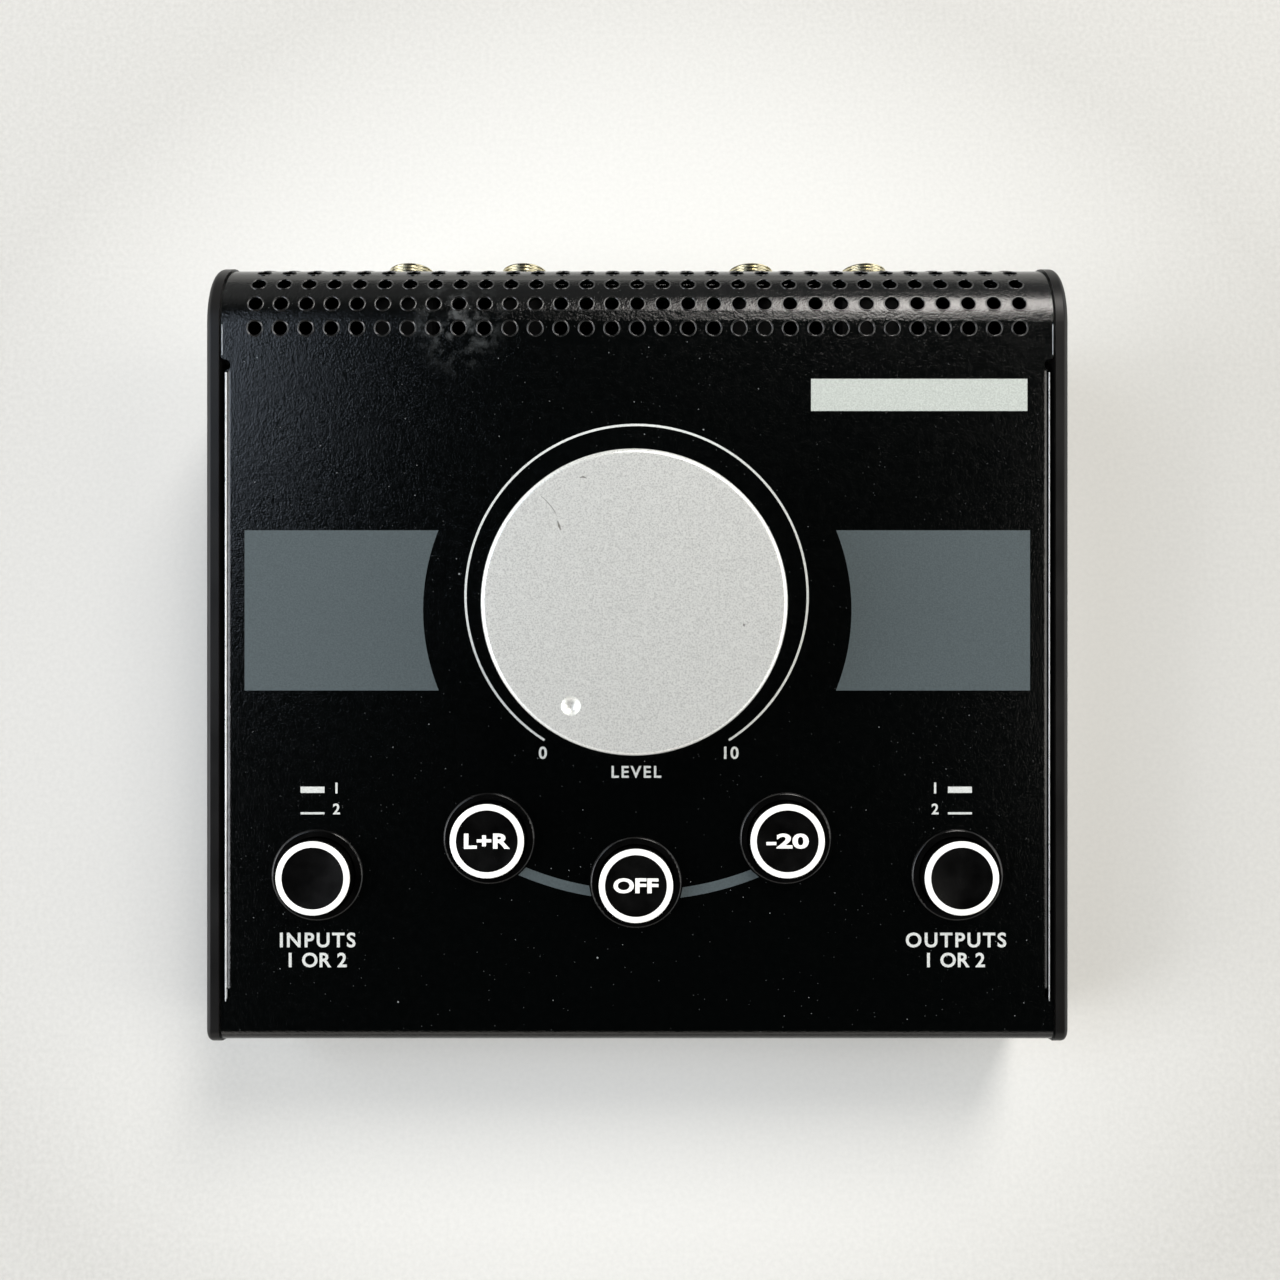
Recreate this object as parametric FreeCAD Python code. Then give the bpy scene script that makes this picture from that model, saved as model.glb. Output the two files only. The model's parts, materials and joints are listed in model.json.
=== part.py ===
import FreeCAD, Part
import math
import os

V = FreeCAD.Vector
os.makedirs("parts", exist_ok=True)

# Lengths are in millimetres. X runs to the right, Y to the rear, Z up.
# The origin lies on the desk under the middle of the whole unit, jack noses included.

# Case
BODY_WIDTH = 198.0
OVERALL_DEPTH = 187.4
FOOT_HEIGHT = 3.0
FRONT_HEIGHT = 38.0
SLOPE_DEG = 8.0
PANEL_ZERO = 91.0
SHEET = 1.2
FRONT_BEND = 3.0
REAR_BEND = 15.4
REAR_LIP_HEIGHT = 44.3

# Cheeks
CHEEK_THICK = 3.0
CHEEK_PROUD = 0.5
CHEEK_DROP = 0.4
CHEEK_ROUND = 1.2
CHEEK_CORNER = 2.0
CHEEK_LIP = 2.4
CHEEK_LIP_FRONT_INSET = 4.0
CHEEK_LIP_REAR_INSET = 2.0

# Cover edges: the bent front and rear run nearly to the cheeks, the folded sides stop short
WRAP_GAP = 0.4
WRAP_CORNER = 0.7
FLANGE_GAP = 1.2
FLANGE_DEPTH = 12.0
FLANGE_FRONT = -80.0
FLANGE_REAR = 61.9
FLANGE_BEND = 1.4
NOTCH = 2.6

# Vents: a square grid that runs round the rear bend
VENT_DIAMETER = 3.5
VENT_PITCH = 5.86
VENT_COLUMNS = 31
VENT_ROWS = 5
VENT_FIRST = -1.4

# Base tray
TRAY_GAP = 0.2
TRAY_FLANGE = 14.0
TRAY_CORNER_GAP = 0.4
REAR_PANEL_INSET = 1.4
REAR_PANEL_TOP = 50.0
REAR_EAR_LOW = 4.0

# Feet
FOOT_RADIUS = 7.0
FOOT_ROUND = 0.6
FOOT_RECESS_GAP = 0.4
FOOT_SCREW_LENGTH = 5.4
FOOT_X = 82.0
FOOT_FRONT_Y = -78.0
FOOT_REAR_Y = 70.0

# Screws
SCREW_RADIUS = 1.5
SCREW_CLEARANCE = 0.2
SCREW_HEAD_ROUND = 0.6
SCREW_SLOT_WIDTH = 0.8
SCREW_SLOT_DEPTH = 0.9
SCREW_HEAD_RADIUS = 2.8
SCREW_HEAD_HEIGHT = 1.6
CHEEK_SCREW_DEPTH = 7.5
CHEEK_SCREW_FRONT = -60.0
CHEEK_SCREW_REAR = 45.0
CHEEK_SCREW_LOW_Z = 14.0
CHEEK_SCREW_BITE = 4.0
CHEEK_BOSS_RADIUS = 4.5
BOARD_SCREW_LENGTH = 6.6

# Knob: heights are above the panel
KNOB_X = -0.6
KNOB_T = 8.1
KNOB_DIAMETER = 65.5
KNOB_TOP = 22.0
KNOB_BOTTOM = 1.2
KNOB_WALL = 2.5
KNOB_CHAMFER = 1.2
KNOB_EDGE = 0.3
DIMPLE_RADIUS = 2.3
DIMPLE_DEPTH = 0.95
DIMPLE_REACH = 25.9
DIMPLE_ANGLE = 31.4
HUB_PLATE = 3.0
HUB_BOSS_RADIUS = 6.5
HUB_BOSS_BOTTOM = 4.6
HUB_RIBS = 6
HUB_RIB = 1.6
HUB_SKIRT = 6.0
HUB_SKIRT_WALL = 1.6
CLIP = 0.5
CLIP_LOW = 0.8
CLIP_HIGH = 4.0
CLIP_SPLIT = 2.0

# Volume control
SHAFT_RADIUS = 3.0
SHAFT_FLAT = 1.5
SHAFT_TOP = 17.0
BUSHING_RADIUS = 4.5
BUSHING_TOP = 3.6
CONTROL_WIDTH = 17.0
CONTROL_LENGTH = 20.0
CONTROL_WALL = 1.2
BUSHING_PLATE = 1.0
SHAFT_SLACK = 0.15
HOLE_SLACK = 0.2
TAB_WIDTH = 2.8
TAB_NEAR = 7.2
TAB_FAR = 8.2
TAB_TOP = -0.2
VOLUME_WASHER_RADIUS = 7.5
VOLUME_WASHER = 0.6
VOLUME_NUT_FLATS = 12.0
VOLUME_NUT = 2.0
CONTROL_STAND = 1.0
CONTROL_STAND_PLACE = 8.0
GANGS = 4
GANG_PITCH = 3.8
WAFER = 1.0
WAFER_LIFT = 1.2
WIPER_RADIUS = 6.2
WIPER = 0.8
WIPER_LIFT = 0.4
FINGER_PLACE = 4.8
VOLUME_PIN_PITCH = 5.0
VOLUME_PIN_ROW = 2.0

# Buttons: places on the panel are (x, t), heights are above the panel
BUTTON_RADIUS = 8.45
BUTTON_TOP = 4.8
BUTTON_TRAVEL = 2.5
BUTTON_WALL = 1.3
BUTTON_DISH = 0.45
BUTTON_DISH_INSET = 1.55
BUTTON_ROOF = 1.6
BUTTON_EDGE = 0.4
KEEPER = 0.8
KEEPER_GAP = 0.4
BUTTON_RIB = 1.0
STEM_RADIUS = 3.4
STEM_RISE = 2.0
COLLAR_RADIUS = 3.6
COLLAR = 0.8
BEZEL_RADIUS = 10.5
BEZEL_HEIGHT = 0.8
BEZEL_COLLAR = 9.6
BEZEL_DEPTH = 2.6
BEZEL_ROUND = 0.55
BEZEL_BORE_GAP = 0.45
BEZEL_HOLE_GAP = 0.1
SELECT_X = 73.4
SELECT_T = -53.9
FUNCTION_X = 34.0
FUNCTION_T = -45.5
MUTE_X = -0.3
MUTE_T = -55.6
SWITCH_SIZE = 8.6
SWITCH_HEIGHT = 8.0
SWITCH_CORNER = 0.5
SWITCH_FLOOR = 1.4
SWITCH_WELL_GAP = 0.2
SWITCH_PIN_PITCH = 2.5
PLUNGER = 3.3
SPRING_RADIUS = 2.9
SPRING_WIRE = 0.45
SPRING_TURNS = 4

# Boards
BOARD_DEPTH = 20.0
BOARD = 1.6
BOARD_HALF_WIDTH = 86.0
BOARD_FRONT = -76.0
BOARD_REAR = 46.0
STANDOFF_FLATS = 5.5
STANDOFF_FRONT_X = 55.0
STANDOFF_FRONT_T = -68.0
STANDOFF_REAR_X = 70.0
STANDOFF_REAR_T = 36.0
PIN = 0.6
PIN_REACH = 1.2
STANDOFF_HOLE = 6.0
BOARD_HOLE_GAP = 0.1
RESISTOR_X = 24.0
RESISTOR_PITCH = 5.0
RESISTOR_WIDTH = 2.4
RESISTOR_HEIGHT = 2.2
RESISTOR_FRONT = -24.0
RESISTOR_REAR = -18.0

# Jacks
JACK_INNER_X = 28.4
JACK_PITCH = 28.4
JACK_UPPER_Z = 38.5
JACK_LOWER_Z = 18.5
JACK_BORE = 3.25
JACK_THREAD = 5.6
JACK_REACH = 7.4
JACK_WIDTH = 15.0
JACK_HEIGHT = 15.5
JACK_LENGTH = 23.5
JACK_PLUG_DEPTH = 31.7
JACK_CORNER = 0.8
JACK_PIN_ACROSS = 4.5
JACK_PIN_UP = 5.0
JACK_BOARD_SIDE = 4.0
JACK_BOARD_LOW = 3.0
JACK_BOARD_HIGH = 1.0
SLEEVE_FLANGE = 1.0
SLEEVE_FLANGE_RIM = 1.4
SLEEVE_CHAMFER = 0.5
NUT_RADIUS = 6.7
NUT_HEIGHT = 3.2
NUT_ROUND = 0.6
NUT_SLOT_WIDTH = 1.2
NUT_SLOT_DEPTH = 1.2
JACK_WASHER_RADIUS = 7.5
WASHER = 0.8

# Ribbon cable
RIBBON_WIDTH = 20.0
RIBBON_THICK = 1.0
RIBBON_BEND = 2.6
HEADER_WIDTH = 24.0
HEADER_SIZE = 5.0
HEADER_INSET = 8.0

SLOPE = math.radians(SLOPE_DEG)
BOTTOM = FOOT_HEIGHT
FRONT_Y = -OVERALL_DEPTH / 2 + CHEEK_PROUD
REAR_PANEL_Y = OVERALL_DEPTH / 2 - JACK_REACH
REAR_Y = REAR_PANEL_Y + REAR_PANEL_INSET
ORIGIN_Y = FRONT_Y + PANEL_ZERO
CHEEK_IN = BODY_WIDTH / 2 - CHEEK_THICK
CHEEK_OUT = BODY_WIDTH / 2
WRAP_EDGE = CHEEK_IN - WRAP_GAP
FLANGE_FACE = CHEEK_IN - FLANGE_GAP
TRAY_FACE = FLANGE_FACE - SHEET - TRAY_GAP
BOARD_TOP = -BOARD_DEPTH
BOARD_UNDER = BOARD_TOP - BOARD
CONTROL_LOW = BOARD_TOP + CONTROL_STAND
PLUNGER_LOW = BOARD_TOP + 4.5
COLLAR_LOW = BOARD_TOP + SWITCH_HEIGHT + 4.5
SOCKET_TOP = -1.0
JACK_FRONT_Y = REAR_PANEL_Y - SHEET - SLEEVE_FLANGE - JACK_LENGTH
CONTROL_HEADER_T = BOARD_REAR - HEADER_INSET
JACK_HEADER_Z = (JACK_UPPER_Z + JACK_LOWER_Z) / 2


def panel_z(y):
    """Height of the panel's outer face above the desk, straight lines carried to the front corner."""
    return BOTTOM + FRONT_HEIGHT + (y - FRONT_Y) * math.tan(SLOPE)


def panel_point(x, t, n):
    """Place of a point that lies t up the panel from its zero line and n above it."""
    y = ORIGIN_Y + t * math.cos(SLOPE) - n * math.sin(SLOPE)
    z = panel_z(ORIGIN_Y) + t * math.sin(SLOPE) + n * math.cos(SLOPE)
    return V(x, y, z)


PANEL = FreeCAD.Placement(panel_point(0, 0, 0), FreeCAD.Rotation(V(1, 0, 0), SLOPE_DEG))


def on_panel(shape):
    """Carry a shape drawn in panel axes (x, t, n) to its place on the sloping panel."""
    placed = shape.copy()
    placed.Placement = PANEL.multiply(placed.Placement)
    return placed


def block(x0, x1, y0, y1, z0, z1):
    """A box between two corners."""
    return Part.makeBox(x1 - x0, y1 - y0, z1 - z0, V(x0, y0, z0))


def tube(outer, inner, low, high, x=0.0, y=0.0):
    """An upright ring or pipe."""
    wall = Part.makeCylinder(outer, high - low, V(x, y, low))
    if inner == 0:
        return wall
    hole = Part.makeCylinder(inner, high - low + 2, V(x, y, low - 1))
    return wall.cut(hole)


def turned(outline):
    """A body of revolution about the upright axis, from (radius, height) corners."""
    corners = [V(radius, 0, height) for radius, height in outline]
    face = Part.Face(Part.makePolygon(corners + corners[:1]))
    return face.revolve(V(0, 0, 0), V(0, 0, 1), 360)


def fused(shapes):
    """One solid from touching or crossing pieces."""
    return shapes[0].multiFuse(shapes[1:]).removeSplitter()


def moved(shape, x, y, z=0.0):
    """A copy shifted by x, y and z."""
    return shape.translated(V(x, y, z))


def edges_where(shape, test):
    """The edges whose bounding box passes the test."""
    return [edge for edge in shape.Edges if test(edge.BoundBox)]


def near(value, target):
    """True where two lengths are the same."""
    return abs(value - target) < 1e-4


def mirrored(shape):
    """The same piece for the other side of the unit."""
    return shape.mirror(V(0, 0, 0), V(1, 0, 0))


def segment(start, end):
    """A straight edge."""
    return Part.LineSegment(start, end).toShape()


def side_arc(centre, radius, start_deg, end_deg):
    """An arc in the side view, round a centre given as (y, z)."""
    points = []
    for angle in (start_deg, (start_deg + end_deg) / 2, end_deg):
        turn = math.radians(angle)
        points.append(V(0, centre[0] + radius * math.cos(turn), centre[1] + radius * math.sin(turn)))
    return Part.Arc(*points).toShape()


def bend_centre(y, radius):
    """Centre of a bend whose outside touches the panel's outer face."""
    return (y, panel_z(y) - radius / math.cos(SLOPE))


FRONT_CENTRE = bend_centre(FRONT_Y + FRONT_BEND, FRONT_BEND)
REAR_CENTRE = bend_centre(REAR_Y - REAR_BEND, REAR_BEND)


def outside_edges(offset, front_z, rear_z):
    """The case's outline from the side, front face to rear face, moved outwards by offset."""
    panel_deg = 90 + SLOPE_DEG
    front_arc = side_arc(FRONT_CENTRE, FRONT_BEND + offset, 180, panel_deg)
    rear_arc = side_arc(REAR_CENTRE, REAR_BEND + offset, panel_deg, 0)
    front_top = front_arc.Vertexes[0].Point
    panel_start = front_arc.Vertexes[-1].Point
    panel_end = rear_arc.Vertexes[0].Point
    rear_top = rear_arc.Vertexes[-1].Point
    front_foot = V(0, front_top.y, front_z)
    rear_foot = V(0, rear_top.y, rear_z)
    front_line = segment(front_foot, front_top)
    panel_line = segment(panel_start, panel_end)
    rear_line = segment(rear_top, rear_foot)
    return [front_line, front_arc, panel_line, rear_arc, rear_line], front_foot, rear_foot


def bent_sheet(x0, x1, front_z, rear_z):
    """The cover's sheet bent to the outline, between two widths."""
    outer, outer_front, outer_rear = outside_edges(0, front_z, rear_z)
    inner, inner_front, inner_rear = outside_edges(-SHEET, front_z, rear_z)
    rear_end = segment(outer_rear, inner_rear)
    front_end = segment(inner_front, outer_front)
    loop = Part.Wire(outer + [rear_end] + inner[::-1] + [front_end])
    return Part.Face(loop).extrude(V(x1 - x0, 0, 0)).translated(V(x0, 0, 0))


def filled_outline(offset, low_z, x0, x1):
    """A plate of the case's outline, closed along the bottom, between two widths."""
    edges, front_foot, rear_foot = outside_edges(offset, low_z, low_z)
    loop = Part.Wire(edges + [segment(rear_foot, front_foot)])
    return Part.Face(loop).extrude(V(x1 - x0, 0, 0)).translated(V(x0, 0, 0))


def button_places():
    """Name and place on the panel of each push button."""
    return [
        ("source_select", -SELECT_X, SELECT_T),
        ("monitor_select", SELECT_X, SELECT_T),
        ("mono", -FUNCTION_X, FUNCTION_T),
        ("mute", MUTE_X, MUTE_T),
        ("dim", FUNCTION_X, FUNCTION_T),
    ]


def jack_places():
    """Name, width place and height of each rear jack, left to right seen from the front."""
    outer_x = JACK_INNER_X + JACK_PITCH
    places = []
    for row, height in (("upper", JACK_UPPER_Z), ("lower", JACK_LOWER_Z)):
        for number, x in enumerate((-outer_x, -JACK_INNER_X, JACK_INNER_X, outer_x), start=1):
            places.append((row + "_jack_" + str(number), x, height))
    return places


def foot_places():
    """Name and place of each foot."""
    return [
        ("front_left_foot", -FOOT_X, FOOT_FRONT_Y),
        ("front_right_foot", FOOT_X, FOOT_FRONT_Y),
        ("rear_left_foot", -FOOT_X, FOOT_REAR_Y),
        ("rear_right_foot", FOOT_X, FOOT_REAR_Y),
    ]


def cheek_screw_places():
    """Side-view place of each cheek screw, and how far in its boss reaches."""
    front = panel_point(0, CHEEK_SCREW_FRONT, -CHEEK_SCREW_DEPTH)
    rear = panel_point(0, CHEEK_SCREW_REAR, -CHEEK_SCREW_DEPTH)
    return [
        (front.y, front.z, FLANGE_FACE),
        (rear.y, rear.z, FLANGE_FACE),
        (ORIGIN_Y, CHEEK_SCREW_LOW_Z, TRAY_FACE),
    ]


def standoff_places():
    """Place on the panel of each board standoff."""
    places = []
    for side in (-1, 1):
        places.append((side * STANDOFF_FRONT_X, STANDOFF_FRONT_T))
        places.append((side * STANDOFF_REAR_X, STANDOFF_REAR_T))
    return places


# Case

def folded_middle():
    """The cover between its relief notches, with the side flanges folded down."""
    outer = block(-FLANGE_FACE, FLANGE_FACE, FLANGE_FRONT, FLANGE_REAR, -FLANGE_DEPTH, 0)
    top_edges = edges_where(outer, lambda box: near(box.ZMin, 0) and box.YLength > 1)
    outer = outer.makeFillet(FLANGE_BEND, top_edges)
    inside = FLANGE_FACE - SHEET
    hollow = block(-inside, inside, FLANGE_FRONT - 1, FLANGE_REAR + 1, -FLANGE_DEPTH - 1, -SHEET)
    inner_edges = edges_where(hollow, lambda box: near(box.ZMin, -SHEET) and box.YLength > 1)
    hollow = hollow.makeFillet(FLANGE_BEND - SHEET, inner_edges)
    return on_panel(outer.cut(hollow))


def cover_bridge(t0, t1):
    """The flat strip of the cover between two relief notches."""
    strip = block(-FLANGE_FACE, FLANGE_FACE, t0, t1, -SHEET, 0)
    middle = (t0 + t1) / 2
    for side in (-1, 1):
        strip = strip.cut(tube((t1 - t0) / 2, 0, -SHEET - 1, 1, side * FLANGE_FACE, middle))
    return on_panel(strip)


def vent_cutters():
    """One short rod for each vent, square to the sheet where it lies."""
    panel_deg = 90 + SLOPE_DEG
    first_column = -(VENT_COLUMNS - 1) / 2
    rods = []
    for row in range(VENT_ROWS):
        along = VENT_FIRST + row * VENT_PITCH
        turn = math.radians(panel_deg) - max(along, 0) / REAR_BEND
        outward = V(0, math.cos(turn), math.sin(turn))
        surface = V(0, REAR_CENTRE[0], REAR_CENTRE[1]) + outward * REAR_BEND
        surface = surface + V(0, math.cos(SLOPE), math.sin(SLOPE)) * min(along, 0)
        start = surface - outward * 2 * SHEET
        for column in range(VENT_COLUMNS):
            place = start + V((first_column + column) * VENT_PITCH, 0, 0)
            rods.append(Part.makeCylinder(VENT_DIAMETER / 2, 3 * SHEET, place, outward))
    return rods


def round_wrap_corners(piece, t):
    """Round the two corners of the sheet beside a relief notch."""
    place = panel_point(WRAP_EDGE, t, 0)
    corners = edges_where(piece, lambda box: near(box.XMin, box.XMax) and near(abs(box.XMin), WRAP_EDGE)
                          and box.YLength < 1 and abs(box.YMin - place.y) < 1
                          and abs(box.ZMax - place.z) < 1 and box.ZLength > SHEET / 2)
    return piece.makeFillet(WRAP_CORNER, corners)


def top_cover():
    """The bent steel cover with its vents, button holes and knob hole."""
    sheet = bent_sheet(-WRAP_EDGE, WRAP_EDGE, BOTTOM + TRAY_GAP, BOTTOM + REAR_LIP_HEIGHT)
    front_end = FLANGE_FRONT - NOTCH
    rear_start = FLANGE_REAR + NOTCH
    far = BODY_WIDTH
    front = sheet.common(on_panel(block(-far, far, -far, front_end, -far, SHEET)))
    front = round_wrap_corners(front, front_end)
    rear = sheet.common(on_panel(block(-far, far, rear_start, far, -far, SHEET)))
    rear = round_wrap_corners(rear, rear_start)
    bridges = [cover_bridge(front_end, FLANGE_FRONT), cover_bridge(FLANGE_REAR, rear_start)]
    cover = fused([front, rear, folded_middle()] + bridges)
    deep = 3 * SHEET
    cutters = []
    for name, x, t in button_places():
        cutters.append(tube(BEZEL_COLLAR + BEZEL_HOLE_GAP, 0, -deep, deep, x, t))
    cutters.append(tube(BUSHING_RADIUS + HOLE_SLACK, 0, -deep, deep, KNOB_X, KNOB_T))
    cutters.append(moved(locating_tab(HOLE_SLACK), KNOB_X, KNOB_T))
    cutters = [on_panel(cutter) for cutter in cutters]
    for y, z, reach in cheek_screw_places():
        if reach == FLANGE_FACE:
            rod = Part.makeCylinder(SCREW_RADIUS + SCREW_CLEARANCE, 2 * far, V(-far, y, z), V(1, 0, 0))
            cutters.append(rod)
    return cover.cut(Part.makeCompound(cutters)).cut(Part.makeCompound(vent_cutters()))


def base_tray():
    """Bottom plate, side walls, front flange and rear panel, bent from one sheet."""
    tray_front = FRONT_Y + SHEET + TRAY_GAP
    wall_front = tray_front + SHEET + TRAY_CORNER_GAP
    wall_rear = REAR_PANEL_Y - SHEET - TRAY_CORNER_GAP
    solid = filled_outline(-SHEET - TRAY_CORNER_GAP, BOTTOM, -TRAY_FACE, TRAY_FACE)
    solid = solid.common(block(-TRAY_FACE, TRAY_FACE, wall_front, wall_rear, 0, 2 * FRONT_HEIGHT))
    corners = edges_where(solid, lambda box: near(box.ZMax, BOTTOM) and box.YLength > 1)
    solid = solid.makeFillet(FLANGE_BEND, corners)
    inside = TRAY_FACE - SHEET
    hollow = block(-inside, inside, wall_front - 1, wall_rear + 1, BOTTOM + SHEET, 2 * FRONT_HEIGHT)
    walls = solid.cut(hollow)
    flat = inside - TRAY_CORNER_GAP
    floor_top = BOTTOM + SHEET
    floor = block(-flat, flat, tray_front, REAR_PANEL_Y, BOTTOM, floor_top)
    front = block(-flat, flat, tray_front, tray_front + SHEET, BOTTOM, BOTTOM + TRAY_FLANGE)
    rear = block(-flat, flat, REAR_PANEL_Y - SHEET, REAR_PANEL_Y, BOTTOM, REAR_PANEL_TOP)
    ears_low = BOTTOM + REAR_EAR_LOW
    ears = block(-TRAY_FACE, TRAY_FACE, REAR_PANEL_Y - SHEET, REAR_PANEL_Y, ears_low, REAR_PANEL_TOP)
    ends = fused([floor, front, rear, ears])
    outer_bends = edges_where(ends, lambda box: near(box.ZMax, BOTTOM) and box.XLength > 1)
    ends = ends.makeFillet(FLANGE_BEND, outer_bends)
    tray = fused([walls, ends])
    cutters = []
    for name, x, z in jack_places():
        hole = rear_rod(JACK_THREAD + HOLE_SLACK, REAR_PANEL_Y - 2 * SHEET, REAR_PANEL_Y + SHEET, x, z)
        cutters.append(hole)
    for name, x, y in foot_places():
        cutters.append(tube(SCREW_RADIUS, 0, BOTTOM - 1, BOTTOM + 3 * SHEET, x, y))
    for y, z, reach in cheek_screw_places():
        rod = Part.makeCylinder(SCREW_RADIUS, 2 * BODY_WIDTH, V(-BODY_WIDTH, y, z), V(1, 0, 0))
        cutters.append(rod)
    return tray.cut(Part.makeCompound(cutters))


def right_cheek():
    """The right side panel: rounded outer edge, inner bosses and a lip under the tray's edge."""
    low_z = BOTTOM - CHEEK_DROP
    plate = filled_outline(CHEEK_PROUD, low_z, CHEEK_IN, CHEEK_OUT)
    low_corners = edges_where(plate, lambda box: near(box.ZMax, low_z) and box.YLength < 1)
    plate = plate.makeFillet(CHEEK_CORNER, low_corners)
    rim = edges_where(plate, lambda box: near(box.XMin, CHEEK_OUT) and near(box.XMax, CHEEK_OUT))
    plate = plate.makeFillet(CHEEK_ROUND, rim)
    lip_front = FRONT_Y + CHEEK_LIP_FRONT_INSET
    lip_rear = REAR_PANEL_Y - CHEEK_LIP_REAR_INSET
    lip = block(TRAY_FACE + TRAY_GAP, CHEEK_IN, lip_front, lip_rear, low_z, low_z + CHEEK_LIP)
    pieces = [plate, lip]
    for y, z, reach in cheek_screw_places():
        boss = Part.makeCylinder(CHEEK_BOSS_RADIUS, CHEEK_IN - reach, V(reach, y, z), V(1, 0, 0))
        pieces.append(boss)
    cheek = fused(pieces)
    cutters = []
    for y, z, reach in cheek_screw_places():
        start = V(reach - 1, y, z)
        hole = Part.makeCylinder(SCREW_RADIUS + SCREW_CLEARANCE, CHEEK_OUT - reach, start, V(1, 0, 0))
        cutters.append(hole)
        cutters.append(side_screw_head(y, z))
    return cheek.cut(Part.makeCompound(cutters))


def side_screw_head(y, z):
    """The countersunk head's cone, flush with the cheek's outer face."""
    depth = SCREW_HEAD_HEIGHT
    start = V(CHEEK_OUT - depth, y, z)
    return Part.makeCone(SCREW_RADIUS, SCREW_HEAD_RADIUS, depth, start, V(1, 0, 0))


def cross_slot(depth):
    """The cross recess of a screw head, cut down from height zero."""
    arm = 0.62 * SCREW_HEAD_RADIUS
    half = SCREW_SLOT_WIDTH / 2
    return fused([block(-arm, arm, -half, half, -depth, 1), block(-half, half, -arm, arm, -depth, 1)])


def pan_screw(length):
    """A pan-head screw: its head stands on height zero and its thread runs down."""
    head = tube(SCREW_HEAD_RADIUS, 0, 0, SCREW_HEAD_HEIGHT)
    top_rim = edges_where(head, lambda box: near(box.ZMin, SCREW_HEAD_HEIGHT))
    head = head.makeFillet(SCREW_HEAD_ROUND, top_rim)
    head = head.cut(moved(cross_slot(SCREW_SLOT_DEPTH), 0, 0, SCREW_HEAD_HEIGHT))
    return fused([head, tube(SCREW_RADIUS, 0, -length, 0)])


def cheek_screws():
    """Six countersunk screws, three through each cheek."""
    screws = []
    tip_x = TRAY_FACE - CHEEK_SCREW_BITE
    for y, z, reach in cheek_screw_places():
        shank_length = CHEEK_OUT - SCREW_HEAD_HEIGHT - tip_x
        shank = Part.makeCylinder(SCREW_RADIUS, shank_length, V(tip_x, y, z), V(1, 0, 0))
        slot = cross_slot(SCREW_SLOT_DEPTH)
        slot.Placement = FreeCAD.Placement(V(CHEEK_OUT, y, z), FreeCAD.Rotation(V(0, 1, 0), 90))
        screw = fused([side_screw_head(y, z), shank]).cut(slot)
        screws.append(screw)
        screws.append(mirrored(screw))
    return Part.makeCompound(screws)


def foot(x, y):
    """A round rubber foot with a recess for its screw head."""
    body = tube(FOOT_RADIUS, 0, 0, FOOT_HEIGHT, x, y)
    rim = edges_where(body, lambda box: near(box.ZMax, 0))
    body = body.makeFillet(FOOT_ROUND, rim)
    recess_top = SCREW_HEAD_HEIGHT + FOOT_RECESS_GAP
    body = body.cut(tube(SCREW_HEAD_RADIUS + FOOT_RECESS_GAP, 0, -1, recess_top, x, y))
    return body.cut(tube(SCREW_RADIUS, 0, -1, FOOT_HEIGHT + 1, x, y))


def foot_screws():
    """Four screws that hold the feet, heads up inside their recesses."""
    screws = []
    for name, x, y in foot_places():
        screw = pan_screw(FOOT_SCREW_LENGTH)
        screw.rotate(V(0, 0, 0), V(1, 0, 0), 180)
        screws.append(moved(screw, x, y, SCREW_HEAD_HEIGHT + FOOT_RECESS_GAP))
    return Part.makeCompound(screws)


# Volume knob and control

def at_knob(shape):
    """Carry a shape drawn round the knob's axis to its place on the panel."""
    return on_panel(moved(shape, KNOB_X, KNOB_T))


def locating_tab(slack):
    """The small tab that stops the control from turning in the panel."""
    half = TAB_WIDTH / 2 + slack
    return block(-half, half, -TAB_FAR - slack, -TAB_NEAR + slack, -SHEET - slack, TAB_TOP + 2 * slack)


def knob_cap():
    """The turned aluminium cap: flat top, chamfered edge, hollow below, round pointer dimple."""
    radius = KNOB_DIAMETER / 2
    inner = radius - KNOB_WALL
    roof = KNOB_TOP - KNOB_WALL
    cap = turned([
        (0, roof), (inner, roof), (inner, KNOB_BOTTOM), (radius - KNOB_EDGE, KNOB_BOTTOM),
        (radius, KNOB_BOTTOM + KNOB_EDGE), (radius, KNOB_TOP - KNOB_CHAMFER),
        (radius - KNOB_CHAMFER, KNOB_TOP), (0, KNOB_TOP),
    ])
    ball_radius = (DIMPLE_RADIUS ** 2 + DIMPLE_DEPTH ** 2) / (2 * DIMPLE_DEPTH)
    angle = math.radians(DIMPLE_ANGLE)
    place = V(
        -DIMPLE_REACH * math.sin(angle),
        -DIMPLE_REACH * math.cos(angle),
        KNOB_TOP - DIMPLE_DEPTH + ball_radius,
    )
    return at_knob(cap.cut(Part.makeSphere(ball_radius, place)))


def d_rod(low, high):
    """A round rod with one flat, as on the control's shaft."""
    flat = block(-SHAFT_RADIUS, SHAFT_RADIUS, SHAFT_FLAT, SHAFT_RADIUS + 1, low - 1, high + 1)
    return tube(SHAFT_RADIUS, 0, low, high).cut(flat)


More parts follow.
